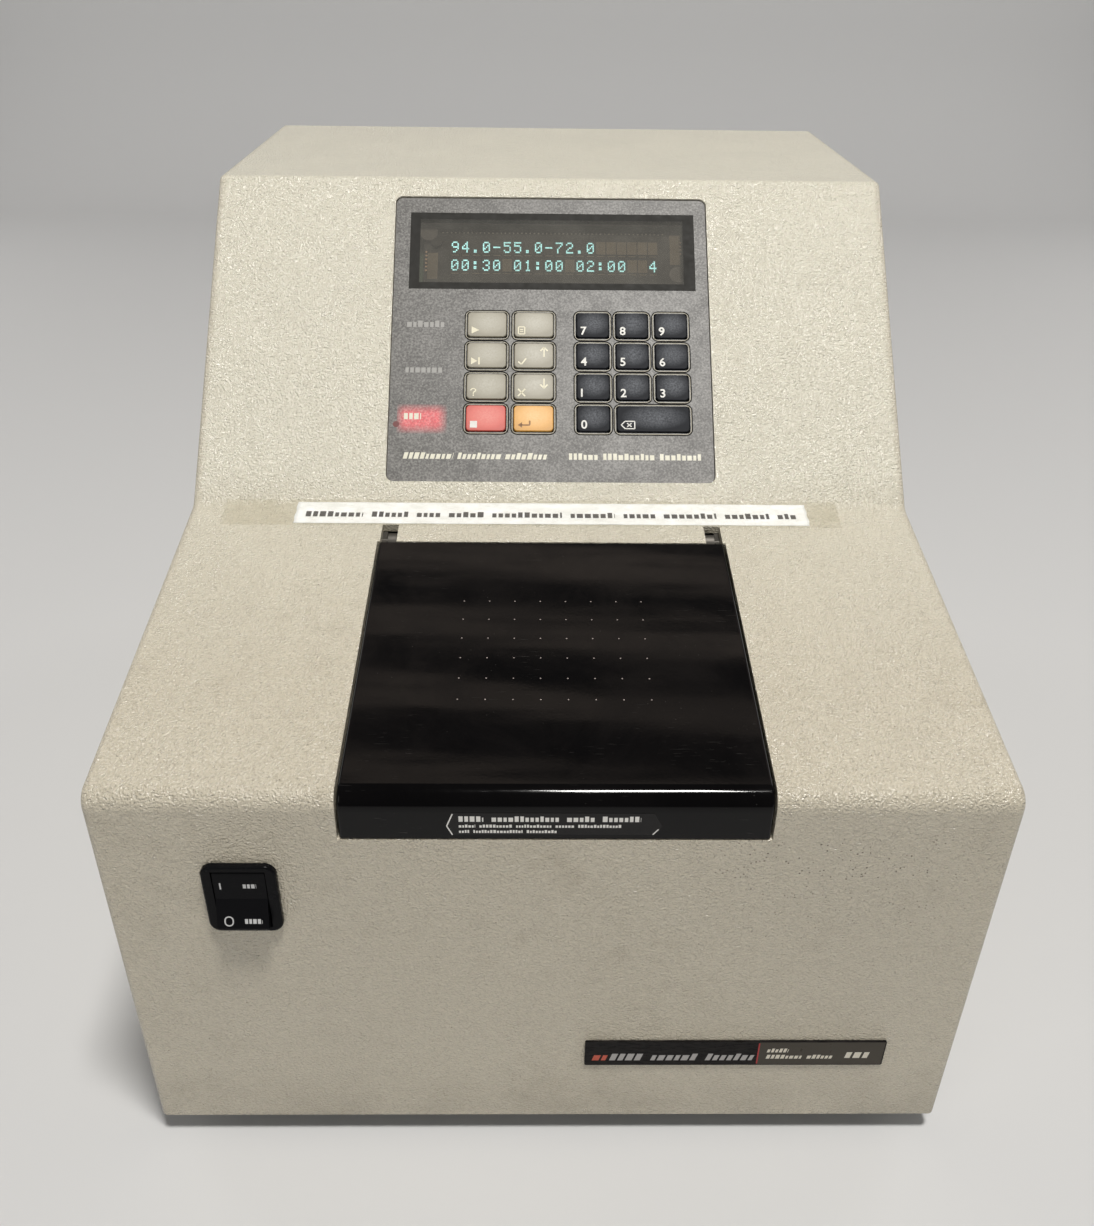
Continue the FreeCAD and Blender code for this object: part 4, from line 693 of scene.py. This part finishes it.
def draw_clear(marks, x, s, size):
    marks.stroke([(x, s + size / 2), (x + size * 0.5, s + size), (x + size * 1.7, s + size),
                  (x + size * 1.7, s), (x + size * 0.5, s), (x, s + size / 2)], size * 0.14)
    marks.stroke([(x + size * 0.75, s + size * 0.25), (x + size * 1.3, s + size * 0.75)], size * 0.14)
    marks.stroke([(x + size * 0.75, s + size * 0.75), (x + size * 1.3, s + size * 0.25)], size * 0.14)


def draw_arrow(marks, x, s, size, way):
    """A small arrow with its middle at (x, s), pointing up the slope (way 1) or down it (-1)."""
    marks.stroke([(x, s - way * size / 2), (x, s + way * size * 0.35)], size * 0.14)
    wing, barb = size * 0.35, s + way * size * 0.12
    marks.stroke([(x - wing, barb), (x, s + way * size / 2), (x + wing, barb)], size * 0.16)


SYMBOLS = {"key_start": draw_start, "key_file": draw_file, "key_step": draw_step,
           "key_yes": draw_yes, "key_help": draw_help, "key_no": draw_no,
           "key_stop": draw_stop, "key_enter": draw_enter, "key_clear": draw_clear}
ARROWS = {"key_yes": 1, "key_no": -1}


def print_keys():
    """The printed mark on every key, each riding on its own key."""
    pale = ink("key_ink_pale", (0.80, 0.75, 0.56))
    white = ink("key_ink_white", (0.78, 0.77, 0.72))
    dark = ink("key_ink_dark", (0.28, 0.12, 0.02))
    inks = {"key_stop": white, "key_enter": dark}
    for key in KEYS:
        x, s, width, height, top = key_face(key)
        marks = Marks(console, top + LIFT)
        left, low = x - width / 2 + 2.0 * MM, s - height / 2 + 1.6 * MM
        if key in SYMBOLS:
            SYMBOLS[key](marks, left, low, 3.9 * MM)
        else:
            marks.figure(key[-1], left, low, FIGURE_HEIGHT)
        if key in ARROWS:
            draw_arrow(marks, x + width / 2 - 4.6 * MM, s + 1.8 * MM, 5.2 * MM, ARROWS[key])
        chosen = inks.get(key, pale if key in SYMBOLS and key != "key_clear" else white)
        marks.piece(key + "_mark", chosen, key)


def print_keypad():
    """Outlines and painted shade rings round the keys, a film over the status marks, and bars for the
    words.
    """
    low, high = console.extent("keypad_bezel")
    face = high.z + LIFT
    outlines, shade_rings = Marks(console, face), Marks(console, face)
    for key in KEYS:
        x, s, width, height, top = key_face(key)
        outlines.outline(rounded(x, s, width + 1.5 * MM, height + 1.5 * MM, 2.6 * MM), 0.28 * MM)
        # painted shade: a dark ring just outside each key's pale outline
        shade_rings.outline(rounded(x, s, width + 2.1 * MM, height + 2.1 * MM, 2.8 * MM), 0.6 * MM)
    outlines.piece("key_outlines", ink("outline_ink", (0.46, 0.42, 0.31)))
    shade_rings.piece("key_shade_rings", ink("shade_ring_ink", (0.010, 0.009, 0.008), 0.6, specular=0.1))
    lamps_low, lamps_high = console.extent("indicator_lamps")
    film = Marks(console, high.z + 0.015 * MM)
    film.bar(-75.5 * MM, lamps_low.y - 5 * MM, 25.5 * MM, lamps_high.y - lamps_low.y + 10 * MM)
    film.piece("status_film", NODES["indicator_lamps"].data.materials[0])
    blister = Marks(console, high.z + 0.022 * MM)
    blister.disc(-75.8 * MM, lamps_low.y + 3.6 * MM, 1.6 * MM)
    blister.piece("film_blister", ink("blister_ink", (0.16, 0.03, 0.028)))
    dim = Marks(console, face)
    left = lamps_low.x + 1.5 * MM
    for row in (1, 2):
        dim.words(left, lamps_low.y + 6.3 * MM + row * 24.8 * MM, 3.9 * MM, (18.6 * MM,), seed=row)
    dim.piece("status_print", ink("dim_ink", (0.36, 0.35, 0.33)))
    bright = Marks(console, face)
    bright.words(left, lamps_low.y + 6.2 * MM, 3.6 * MM, (8.4 * MM,))
    line = low.y + 15.6 * MM
    bright.words(-72 * MM, line, 3.7 * MM, (24 * MM, 21 * MM, 20 * MM), 1.6 * MM, 0.25)
    bright.words(8.7 * MM, line, 3.7 * MM, (14.4 * MM, 25.6 * MM, 20 * MM), 2 * MM, seed=3)
    bright.piece("panel_print", ink("bright_ink", (0.80, 0.77, 0.63)))


# ---- display
CHARACTER_PITCH = 5.38 * MM
CHARACTER_WIDTH = 3.7 * MM
COLUMNS = 20
ROW_PITCH = 10.4 * MM
DOT_ROWS, DOT_COLUMNS = 7, 5
DOT_HEIGHT = 6.4 * MM / DOT_ROWS
DOT_WIDTH = CHARACTER_WIDTH / DOT_COLUMNS
# low x, low s, high x and high s of the smoked window and of the clear part inside its dark mask
WINDOW_EDGE = (-71.7 * MM, 115.9 * MM, 73.1 * MM, 158.9 * MM)
WINDOW_CLEAR = (-66.8 * MM, 119.4 * MM, 67.6 * MM, 155.4 * MM)
BEADS, BEAD_PITCH = 54, 2.15 * MM
PIN_PITCH = 2.1 * MM
READINGS = ("94.0-55.0-72.0      ", "00:30 01:00 02:00  4")
GLYPHS = {
    "0": "01110 10001 10011 10101 11001 10001 01110", "1": "00100 01100 00100 00100 00100 00100 01110",
    "2": "01110 10001 00001 00110 01000 10000 11111", "3": "01110 10001 00001 00110 00001 10001 01110",
    "4": "00010 00110 01010 10010 11111 00010 00010", "5": "11111 10000 11110 00001 00001 10001 01110",
    "7": "11111 00001 00010 00100 01000 01000 01000", "9": "01110 10001 10001 01111 00001 00010 01100",
    ".": "00000 00000 00000 00000 00000 01100 01100", ":": "00000 01100 01100 00000 01100 01100 00000",
    "-": "00000 00000 00000 11111 00000 00000 00000",
}


def lit_material():
    """Blue-green phosphor dots."""
    made = Shader("phosphor_lit")
    flicker = made.span(made.noise(1.5 * MM, 2), 0.3, 0.7, 0.7, 1.15)
    made.set(Base_Color=(0.25, 0.45, 0.45), Emission_Color=(0.46, 0.97, 1.0))
    made.set(Emission_Strength=made.times(flicker, 2.6), Roughness=0.6)
    return made.material


def mesh_material(name, dark, pale):
    """The fine metal mesh over each character cell, woven and stained."""
    made = Shader(name)
    weave = made.cells(0.42 * MM, "DISTANCE_TO_EDGE", jitter=0.1)
    tint = made.noise(7 * MM, 4)
    base = made.mix(tint, dark, pale)
    made.set(Base_Color=made.mix(made.span(weave, 0.05, 0.3), base, shade(dark, 0.45)))
    made.set(Roughness=made.span(tint, 0.3, 0.7, 0.5, 0.65), Normal=made.bump(weave, 0.02 * MM))
    made.set(Specular_IOR_Level=0.2)
    return made.material


def display():
    """Character cells, lit dots, end plates, getters, painted glints on the pins, beads and the dark mask
    in the window.
    """
    low, high = console.extent("display_tube")
    face = low.z + 6.5 * MM
    middle_x, middle_s = (low.x + high.x) / 2 + 1 * MM, (low.y + high.y) / 2 + 1.5 * MM
    lit_cells = Marks(console, face + 0.05 * MM)
    blank_cells = Marks(console, face + 0.05 * MM)
    dots = Marks(console, face + 0.12 * MM)
    first = middle_x - CHARACTER_PITCH * (COLUMNS - 1) / 2 - CHARACTER_WIDTH / 2
    for row, text in enumerate(READINGS):
        top = middle_s + ROW_PITCH / 2 + DOT_HEIGHT * DOT_ROWS / 2 - row * ROW_PITCH
        for column, character in enumerate(text):
            left = first + column * CHARACTER_PITCH
            cells = blank_cells if character == " " else lit_cells
            cells.bar(left - 0.6 * MM, top - DOT_HEIGHT * 7.4, CHARACTER_WIDTH + 1.2 * MM, DOT_HEIGHT * 7.9)
            blank_cells.bar(left, top - DOT_HEIGHT * 8.9, CHARACTER_WIDTH, DOT_HEIGHT * 0.5)
            for i, line in enumerate(GLYPHS.get(character, "").split()):
                for j, bit in enumerate(line):
                    if bit == "1":
                        dots.bar(left + j * DOT_WIDTH, top - (i + 1) * DOT_HEIGHT, DOT_WIDTH * 0.86,
                                 DOT_HEIGHT * 0.86)
    last = first + CHARACTER_PITCH * (COLUMNS - 1) + CHARACTER_WIDTH
    blank_cells.bar(first - 12.3 * MM, middle_s - 13.3 * MM, 5.3 * MM, 15 * MM)
    blank_cells.bar(last + 7 * MM, middle_s - 4 * MM, 5.4 * MM, 17 * MM)
    dark = mesh_material("cell_dark", (0.10, 0.10, 0.09), (0.15, 0.14, 0.12))
    lit_cells.piece("display_cells", dark)
    blank = mesh_material("cell_pale", (0.34, 0.285, 0.205), (0.46, 0.39, 0.285))
    blank_cells.piece("display_blank_cells", blank)
    dots.piece("display_characters", lit_material())
    getters = Marks(console, face + 0.2 * MM)
    tip = Marks(console, high.z + LIFT)
    tip.disc(first - 11.8 * MM, middle_s + 12.2 * MM, 4.6 * MM, 32)
    getters.disc(last + 11.0 * MM, middle_s - 9.6 * MM, 4.5 * MM, 32)
    bloom = soft_rubber("getter", (0.15, 0.135, 0.125), 0.5).material
    getters.piece("display_getter_right", bloom)
    tip.piece("display_getter_left", bloom)
    # painted highlight: bright orange discs stand for glints on the tube's pins
    pins = Marks(console, face + 0.25 * MM)
    for i in range(6):
        pins.disc(first - 13 * MM, middle_s + 2 * MM - i * PIN_PITCH, 0.62 * MM, 8)
    for i in range(4):
        pins.disc(last + 12.6 * MM, middle_s + 8.6 * MM - i * PIN_PITCH, 0.5 * MM, 8)
    pins.piece("display_pin_glints", ink("pin_glint", (0.98, 0.66, 0.42), 0.3))
    beads = Marks(console, face + 0.2 * MM)
    for i in range(BEADS):
        beads.disc(first - 4.6 * MM + i * BEAD_PITCH, middle_s + 13.4 * MM, 0.48 * MM, 8)
    mask = Marks(console, console.extent("display_window")[1].z + LIFT)
    mask.frame(WINDOW_EDGE, WINDOW_CLEAR)
    mask_ink = ink("mask_ink", (0.030, 0.029, 0.026), 0.6, specular=0.15)
    mask.piece("window_mask", mask_ink)
    beads.piece("display_beads", ink("bead_grey", (0.62, 0.58, 0.50), 0.4))


# ---- lid marks
LID_DOT_PITCH = (10.9 * MM, 11.9 * MM)
LID_DOT_RADIUS = 0.32 * MM
BLOCK_MIDDLE = 79.4 * MM
LABEL_SPAN = (-40 * MM, 39 * MM)
LABEL_RISE = (177.6 * MM, 188.0 * MM)


def lid_marks():
    """Eight by six pale dots over the wells, and a small worn label on the lid's front."""
    dots = Marks(deck, LIFT)
    for column in range(8):
        for row in range(6):
            x = (column - 3.5) * LID_DOT_PITCH[0]
            s = BLOCK_MIDDLE + (row - 2.5) * LID_DOT_PITCH[1]
            dots.disc(x, s, LID_DOT_RADIUS, 10)
    dots.piece("lid_dots", ink("dot_ink", (0.34, 0.29, 0.27)), "lid")
    (left, right), (low, high) = LABEL_SPAN, LABEL_RISE
    label = Marks(front, 0.1 * MM)
    label.polygon([(left + 2.2 * MM, low), (right - 3.4 * MM, low), (right - 1.2 * MM, low + 2.6 * MM),
                   (right, low + 4.4 * MM), (right - 1.6 * MM, low + 7 * MM), (right - 3.2 * MM, high),
                   (left + 2.6 * MM, high), (left + 0.4 * MM, low + 6.4 * MM), (left, low + 4.2 * MM),
                   (left + 1.6 * MM, low + 2.2 * MM)])
    label.piece("lid_label", ink("label_film", (0.012, 0.011, 0.011), 0.42, specular=0.25), "lid")
    white = Marks(front, 0.13 * MM)
    left_edge = [(left + 2.2 * MM, low), (left + 0.2 * MM, low + 4.2 * MM),
                 (left + 2.4 * MM, high - 0.4 * MM)]
    white.stroke(left_edge, 0.5 * MM)
    white.stroke([(right - 3.4 * MM, low + 0.2 * MM), (right - 1.4 * MM, low + 2.8 * MM)], 0.5 * MM)
    white.words(left + 4.6 * MM, high - 4.1 * MM, 2.9 * MM, (9 * MM, 25 * MM, 10 * MM, 14 * MM), 2.4 * MM)
    white.words(left + 4.6 * MM, high - 6.9 * MM, 1.6 * MM,
                (6 * MM, 12 * MM, 13 * MM, 7 * MM, 16 * MM), 1.2 * MM, seed=2)
    white.words(left + 4.6 * MM, high - 9.5 * MM, 1.6 * MM, (4 * MM, 18 * MM, 11 * MM), 1.2 * MM, seed=7)
    white.piece("lid_label_print", ink("label_ink", (0.86, 0.84, 0.80)), "lid")


# ---- badge and rocker print
BADGE_DIVIDER = 73.7 * MM
BADGE_EDGE = 0.5 * MM


def badge_print():
    """A warm grey end, a red divider and slanted bars in place of the words."""
    low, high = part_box("badge")
    face = shell_low.y - low.y + LIFT
    edge = BADGE_EDGE
    divider = low.x + BADGE_DIVIDER
    end = Marks(front, face)
    end.bar(divider, low.z + edge, high.x - edge - divider, high.z - low.z - 2 * edge)
    end.piece("badge_end", ink("badge_grey", (0.060, 0.051, 0.038), 0.35, specular=0.2))
    red = Marks(front, face + LIFT)
    red.bar(divider - 0.35 * MM, low.z + 1 * MM, 0.6 * MM, high.z - low.z - 2 * MM)
    red.piece("badge_divider", ink("badge_red", (0.42, 0.02, 0.02)))
    bars = Marks(front, face + LIFT)
    middle = (low.z + high.z) / 2
    bars.words(low.x + 10.4 * MM, middle - 4.4 * MM, 4.8 * MM, (14 * MM, 19 * MM, 20 * MM), 3.4 * MM, 0.3)
    bars.piece("badge_print", ink("badge_ink", (0.44, 0.42, 0.41)))
    first = Marks(front, face + LIFT)
    first.words(low.x + 3 * MM, middle - 4.4 * MM, 4.8 * MM, (6.6 * MM,), slant=0.3, seed=2)
    first.piece("badge_red_print", ink("badge_red_ink", (0.58, 0.10, 0.055)))
    side = Marks(front, face + LIFT)
    side.words(divider + 3.5 * MM, middle + 0.7 * MM, 2.8 * MM, (9 * MM,), slant=0.2, seed=8)
    side.words(divider + 3.5 * MM, middle - 3.4 * MM, 2.8 * MM, (15 * MM, 11 * MM), 1.8 * MM, 0.2)
    side.words(divider + 37 * MM, middle - 3 * MM, 5.4 * MM, (10.5 * MM,), slant=0.2, seed=4)
    side.piece("badge_side_print", ink("badge_side_ink", (0.78, 0.73, 0.62)))


def rocker_marks():
    """A line for on and a ring for off, on the two faces of the rocker."""
    low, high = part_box("switch_rocker")
    middle = Vector(((low.x + high.x) / 2, 0, (low.z + high.z) / 2))
    faces = [f for f in NODES["switch_rocker"].data.polygons
             if f.normal.y < -0.8 and f.area > 100 * MM * MM]
    print_ink = ink("rocker_ink", (0.62, 0.62, 0.62))
    for upper in (True, False):
        face = max((f for f in faces if (f.center.z > middle.z) == upper), key=lambda f: f.area)
        slope = Slope(face.center.y, face.center.z, math.atan2(-face.normal.y, face.normal.z))
        marks = Marks(slope, LIFT)
        if upper:
            marks.bar(low.x + 3.4 * MM, 0.6 * MM, 0.6 * MM, 3.2 * MM)
            marks.words(low.x + 12.2 * MM, 1.2 * MM, 2.2 * MM, (5 * MM,))
        else:
            marks.outline(rounded(low.x + 5.8 * MM, -1.2 * MM, 2.6 * MM, 3.2 * MM, 1.25 * MM), 0.5 * MM)
            marks.words(low.x + 11.8 * MM, -2.2 * MM, 2.2 * MM, (6.6 * MM,))
        marks.piece("rocker_" + ("on" if upper else "off"), print_ink, "rocker")


# ---- paper note and tape
def foot_path(t, n):
    """The point t along the deck, round its inner crease and up the console, n above the surface."""
    turn = CONSOLE_TILT - DECK_TILT
    tangent = CREASE_ROUND * math.tan(turn / 2)
    flat = DECK_LENGTH - tangent
    if t <= flat:
        return deck.at(0, t, n)
    angle = (t - flat) / CREASE_ROUND
    if angle < turn:
        centre = deck.at(0, flat, CREASE_ROUND)
        reach = CREASE_ROUND - n
        return centre + deck.up * (reach * math.sin(angle)) - deck.out * (reach * math.cos(angle))
    return console.at(0, tangent + t - flat - CREASE_ROUND * turn, n)


def strip(name, left, right, start, end, height, material, curl, seed, thickness=0.1 * MM):
    """A thin strip laid along the console's foot, with a little waviness and lifted ends."""
    dice = random.Random(seed)
    waves = [(dice.uniform(18, 60) * MM, dice.uniform(0, 6), dice.uniform(0.02, 0.06) * MM)
             for _ in range(4)]
    columns, rows = 120, 14
    mesh = bmesh.new()
    grid = []
    for i in range(columns + 1):
        share = i / columns
        x = left + (right - left) * share
        wave = sum(a * math.sin(x / w * 2 * math.pi + p) for w, p, a in waves)
        lift = curl * (max(0.0, 1 - share / 0.04) ** 2 + 0.6 * max(0.0, (share - 0.97) / 0.03) ** 2)
        line = []
        for j in range(rows + 1):
            t = start + (end - start) * j / rows
            ragged = 0.25 * MM * math.sin(17.0 * share + j) if i in (0, columns) else 0.0
            spot = foot_path(t, height + abs(wave) + lift * (1 - 0.6 * j / rows))
            line.append(mesh.verts.new((x + ragged, spot.y, spot.z)))
        grid.append(line)
    for i in range(columns):
        for j in range(rows):
            face = mesh.faces.new((grid[i][j], grid[i + 1][j], grid[i + 1][j + 1], grid[i][j + 1]))
            face.smooth = True
    made = add_piece(name, mesh, material, "housing")
    solid = made.modifiers.new("thickness", "SOLIDIFY")
    solid.thickness, solid.offset = thickness, 1.0
    return made


def paper_material():
    """White paper: fibres, slight yellowing, faint creases and a painted glow that lifts its brightness."""
    made = Shader("paper")
    fibre = made.noise(0.5 * MM, 4, 0.7)
    aged = made.noise(26 * MM, 5, 0.65)
    base = made.mix(made.span(aged, 0.35, 0.75), (0.95, 0.95, 0.94), (0.90, 0.89, 0.86))
    crease = made.noise(8 * MM, 2, 0.5, made.stretch((1, 14, 14)))
    made.set(Base_Color=made.mix(made.span(fibre, 0.4, 0.7, 0, 0.1), base, (0.66, 0.63, 0.58)))
    made.set(Roughness=made.span(aged, 0.3, 0.7, 0.55, 0.75))
    # painted light: a faint bluish glow makes the paper brighter than its lighting gives
    made.set(Emission_Color=(0.80, 0.90, 1.0), Emission_Strength=0.17)
    made.set(Normal=made.bump(crease, 0.25 * MM, 0.5, made.bump(fibre, 0.02 * MM)))
    return made.material


def tape_material():
    """Clear sticky tape: nearly invisible, glossy, yellowed and streaky with trapped air."""
    made = Shader("clear_tape")
    streak = made.noise(7 * MM, 5, 0.7, made.stretch((0.7, 1.4, 1.4)))
    tint = made.mix(made.span(streak, 0.35, 0.75), (0.998, 0.996, 0.99), (0.982, 0.977, 0.96))
    clear = made.node("ShaderNodeBsdfTransparent", {"Color": tint})
    made.set(Base_Color=(0.60, 0.57, 0.47), Roughness=made.span(streak, 0.3, 0.7, 0.14, 0.34))
    made.set(Normal=made.bump(made.noise(5 * MM, 3, 0.6), 0.25 * MM))
    cover = made.span(streak, 0.3, 0.8, 0.02, 0.10)
    mixed = made.node("ShaderNodeMixShader", {0: cover, 1: clear.outputs[0], 2: made.bsdf.outputs[0]})
    made.tree.links.new(mixed.outputs[0], made.output.inputs["Surface"])
    return made.material


class FootSurface:
    """The deck's end and the console's start as one surface, for marks on the note."""

    def at(self, x, s, n=0.0):
        spot = foot_path(s, n)
        return Vector((x, spot.y, spot.z))


PAPER_SPAN = (-121 * MM, 122 * MM)
TAPE_SPAN = (-155 * MM, 137 * MM)
PAPER_WORDS = (27, 18, 11, 17, 33, 21, 15, 25, 21, 9)


def note():
    """A taped paper strip at the console's foot, with a row of bars in place of its sentence."""
    start, end = 164.9 * MM, 180.9 * MM
    strip("paper_note", *PAPER_SPAN, start, end, 0.12 * MM, paper_material(), 0.12 * MM, 4)
    strip("clear_tape", *TAPE_SPAN, start - 1.6 * MM, end + 1.4 * MM, 0.42 * MM, tape_material(),
          0.0, 9, 0.05 * MM)
    bars = Marks(FootSurface(), 0.36 * MM)
    bars.words(-116 * MM, start + 5.0 * MM, 4.7 * MM,
               [w * MM for w in PAPER_WORDS], 3.2 * MM)
    bars.piece("note_print", ink("note_ink", (0.09, 0.085, 0.09), 0.6))


# ---- stage, light and camera
def stage():
    """A pale floor that curves up behind."""
    radius, back, height = 0.3, 1.6, 1.1
    mesh = bmesh.new()
    rows = []
    path = [(-3.0, 0.0), (back, 0.0)]
    path += [(back + radius * math.sin(a), radius - radius * math.cos(a))
             for a in (math.pi / 2 * i / 12 for i in range(1, 13))]
    path += [(back + radius, height)]
    for y, z in path:
        rows.append([mesh.verts.new((x, y, z)) for x in (-4.0, 4.0)])
    for low_row, high_row in zip(rows, rows[1:]):
        face = mesh.faces.new((low_row[0], low_row[1], high_row[1], high_row[0]))
        face.smooth = True
    data = bpy.data.meshes.new("floor")
    mesh.to_mesh(data)
    mesh.free()
    floor = Shader("floor")
    floor.set(Base_Color=(0.68, 0.68, 0.68), Roughness=0.75)
    data.materials.append(floor.material)
    made = bpy.data.objects.new("floor", data)
    link(made)


def area_light(name, place, target, size, power, colour=(1, 1, 1)):
    """A rectangular light at a place, aimed at a target."""
    data = bpy.data.lights.new(name, "AREA")
    data.shape, data.size, data.size_y, data.energy, data.color = "RECTANGLE", *size, power, colour
    made = bpy.data.objects.new(name, data)
    made.location = place
    made.rotation_euler = (Vector(target) - Vector(place)).to_track_quat("-Z", "Y").to_euler()
    link(made)


KEY_POWER = 44.5
LEFT_FILL_POWER = 4
BACK_FILL_POWER = 4.5
SLAT_POWER = 0.35
SLAT_HEIGHTS = (1.44, 1.64, 1.90, 2.24)
SURROUND_STRENGTH = 0.13


def lights():
    """A softbox above and in front, weak fills on the left and behind, dim slats and a grey surround."""
    middle = (0, 0, 0.2)
    area_light("key", (0.25, -0.68, 2.35), middle, (0.42, 0.3), KEY_POWER, (1.0, 0.98, 0.945))
    area_light("left_fill", (-1.1, -1.6, 1.1), middle, (1.0, 1.0), LEFT_FILL_POWER, (1.0, 0.97, 0.92))
    for side in (-1, 1):
        place = (1.6 * side, 1.15, 0.8)
        area_light(f"back_fill_{side}", place, middle, (0.8, 0.8), BACK_FILL_POWER, (1.0, 0.98, 0.95))
    for i, height in enumerate(SLAT_HEIGHTS):
        place = (0.1, 1.0, height)
        area_light(f"slat_{i}", place, (0, -0.15, 0.2), (2.6, 0.06), SLAT_POWER, (1.0, 0.82, 0.68))
    world = bpy.data.worlds.new("surround")
    world.use_nodes = True
    world.node_tree.nodes["Background"].inputs["Color"].default_value = (0.75, 0.77, 0.80, 1)
    world.node_tree.nodes["Background"].inputs["Strength"].default_value = SURROUND_STRENGTH
    bpy.context.scene.world = world
    bpy.context.scene.view_settings.view_transform = "Standard"


CAMERA_BACK = 307.8 * MM
CAMERA_HEIGHT = 461.6 * MM
CAMERA_SIDE = -9.7 * MM
CAMERA_PITCH = math.radians(31.5)
CAMERA_YAW = math.radians(-1.0)
CAMERA_ROLL = math.radians(0.8)
SENSOR_WIDTH, FOCAL_LENGTH = 36, 32.9


def camera():
    """The camera a little above the lid and in front, tilted down at the keypad."""
    data = bpy.data.cameras.new("camera")
    data.sensor_width, data.lens = SENSOR_WIDTH, FOCAL_LENGTH
    made = bpy.data.objects.new("camera", data)
    turn = (Matrix.Rotation(CAMERA_YAW, 4, "Z") @ Matrix.Rotation(math.pi / 2 - CAMERA_PITCH, 4, "X")
            @ Matrix.Rotation(CAMERA_ROLL, 4, "Z"))
    made.matrix_world = Matrix.Translation((CAMERA_SIDE, shell_low.y - CAMERA_BACK, CAMERA_HEIGHT)) @ turn
    link(made)
    bpy.context.scene.camera = made


paint_frame()
print_keys()
print_keypad()
display()
lid_marks()
badge_print()
rocker_marks()
note()
stage()
lights()
camera()
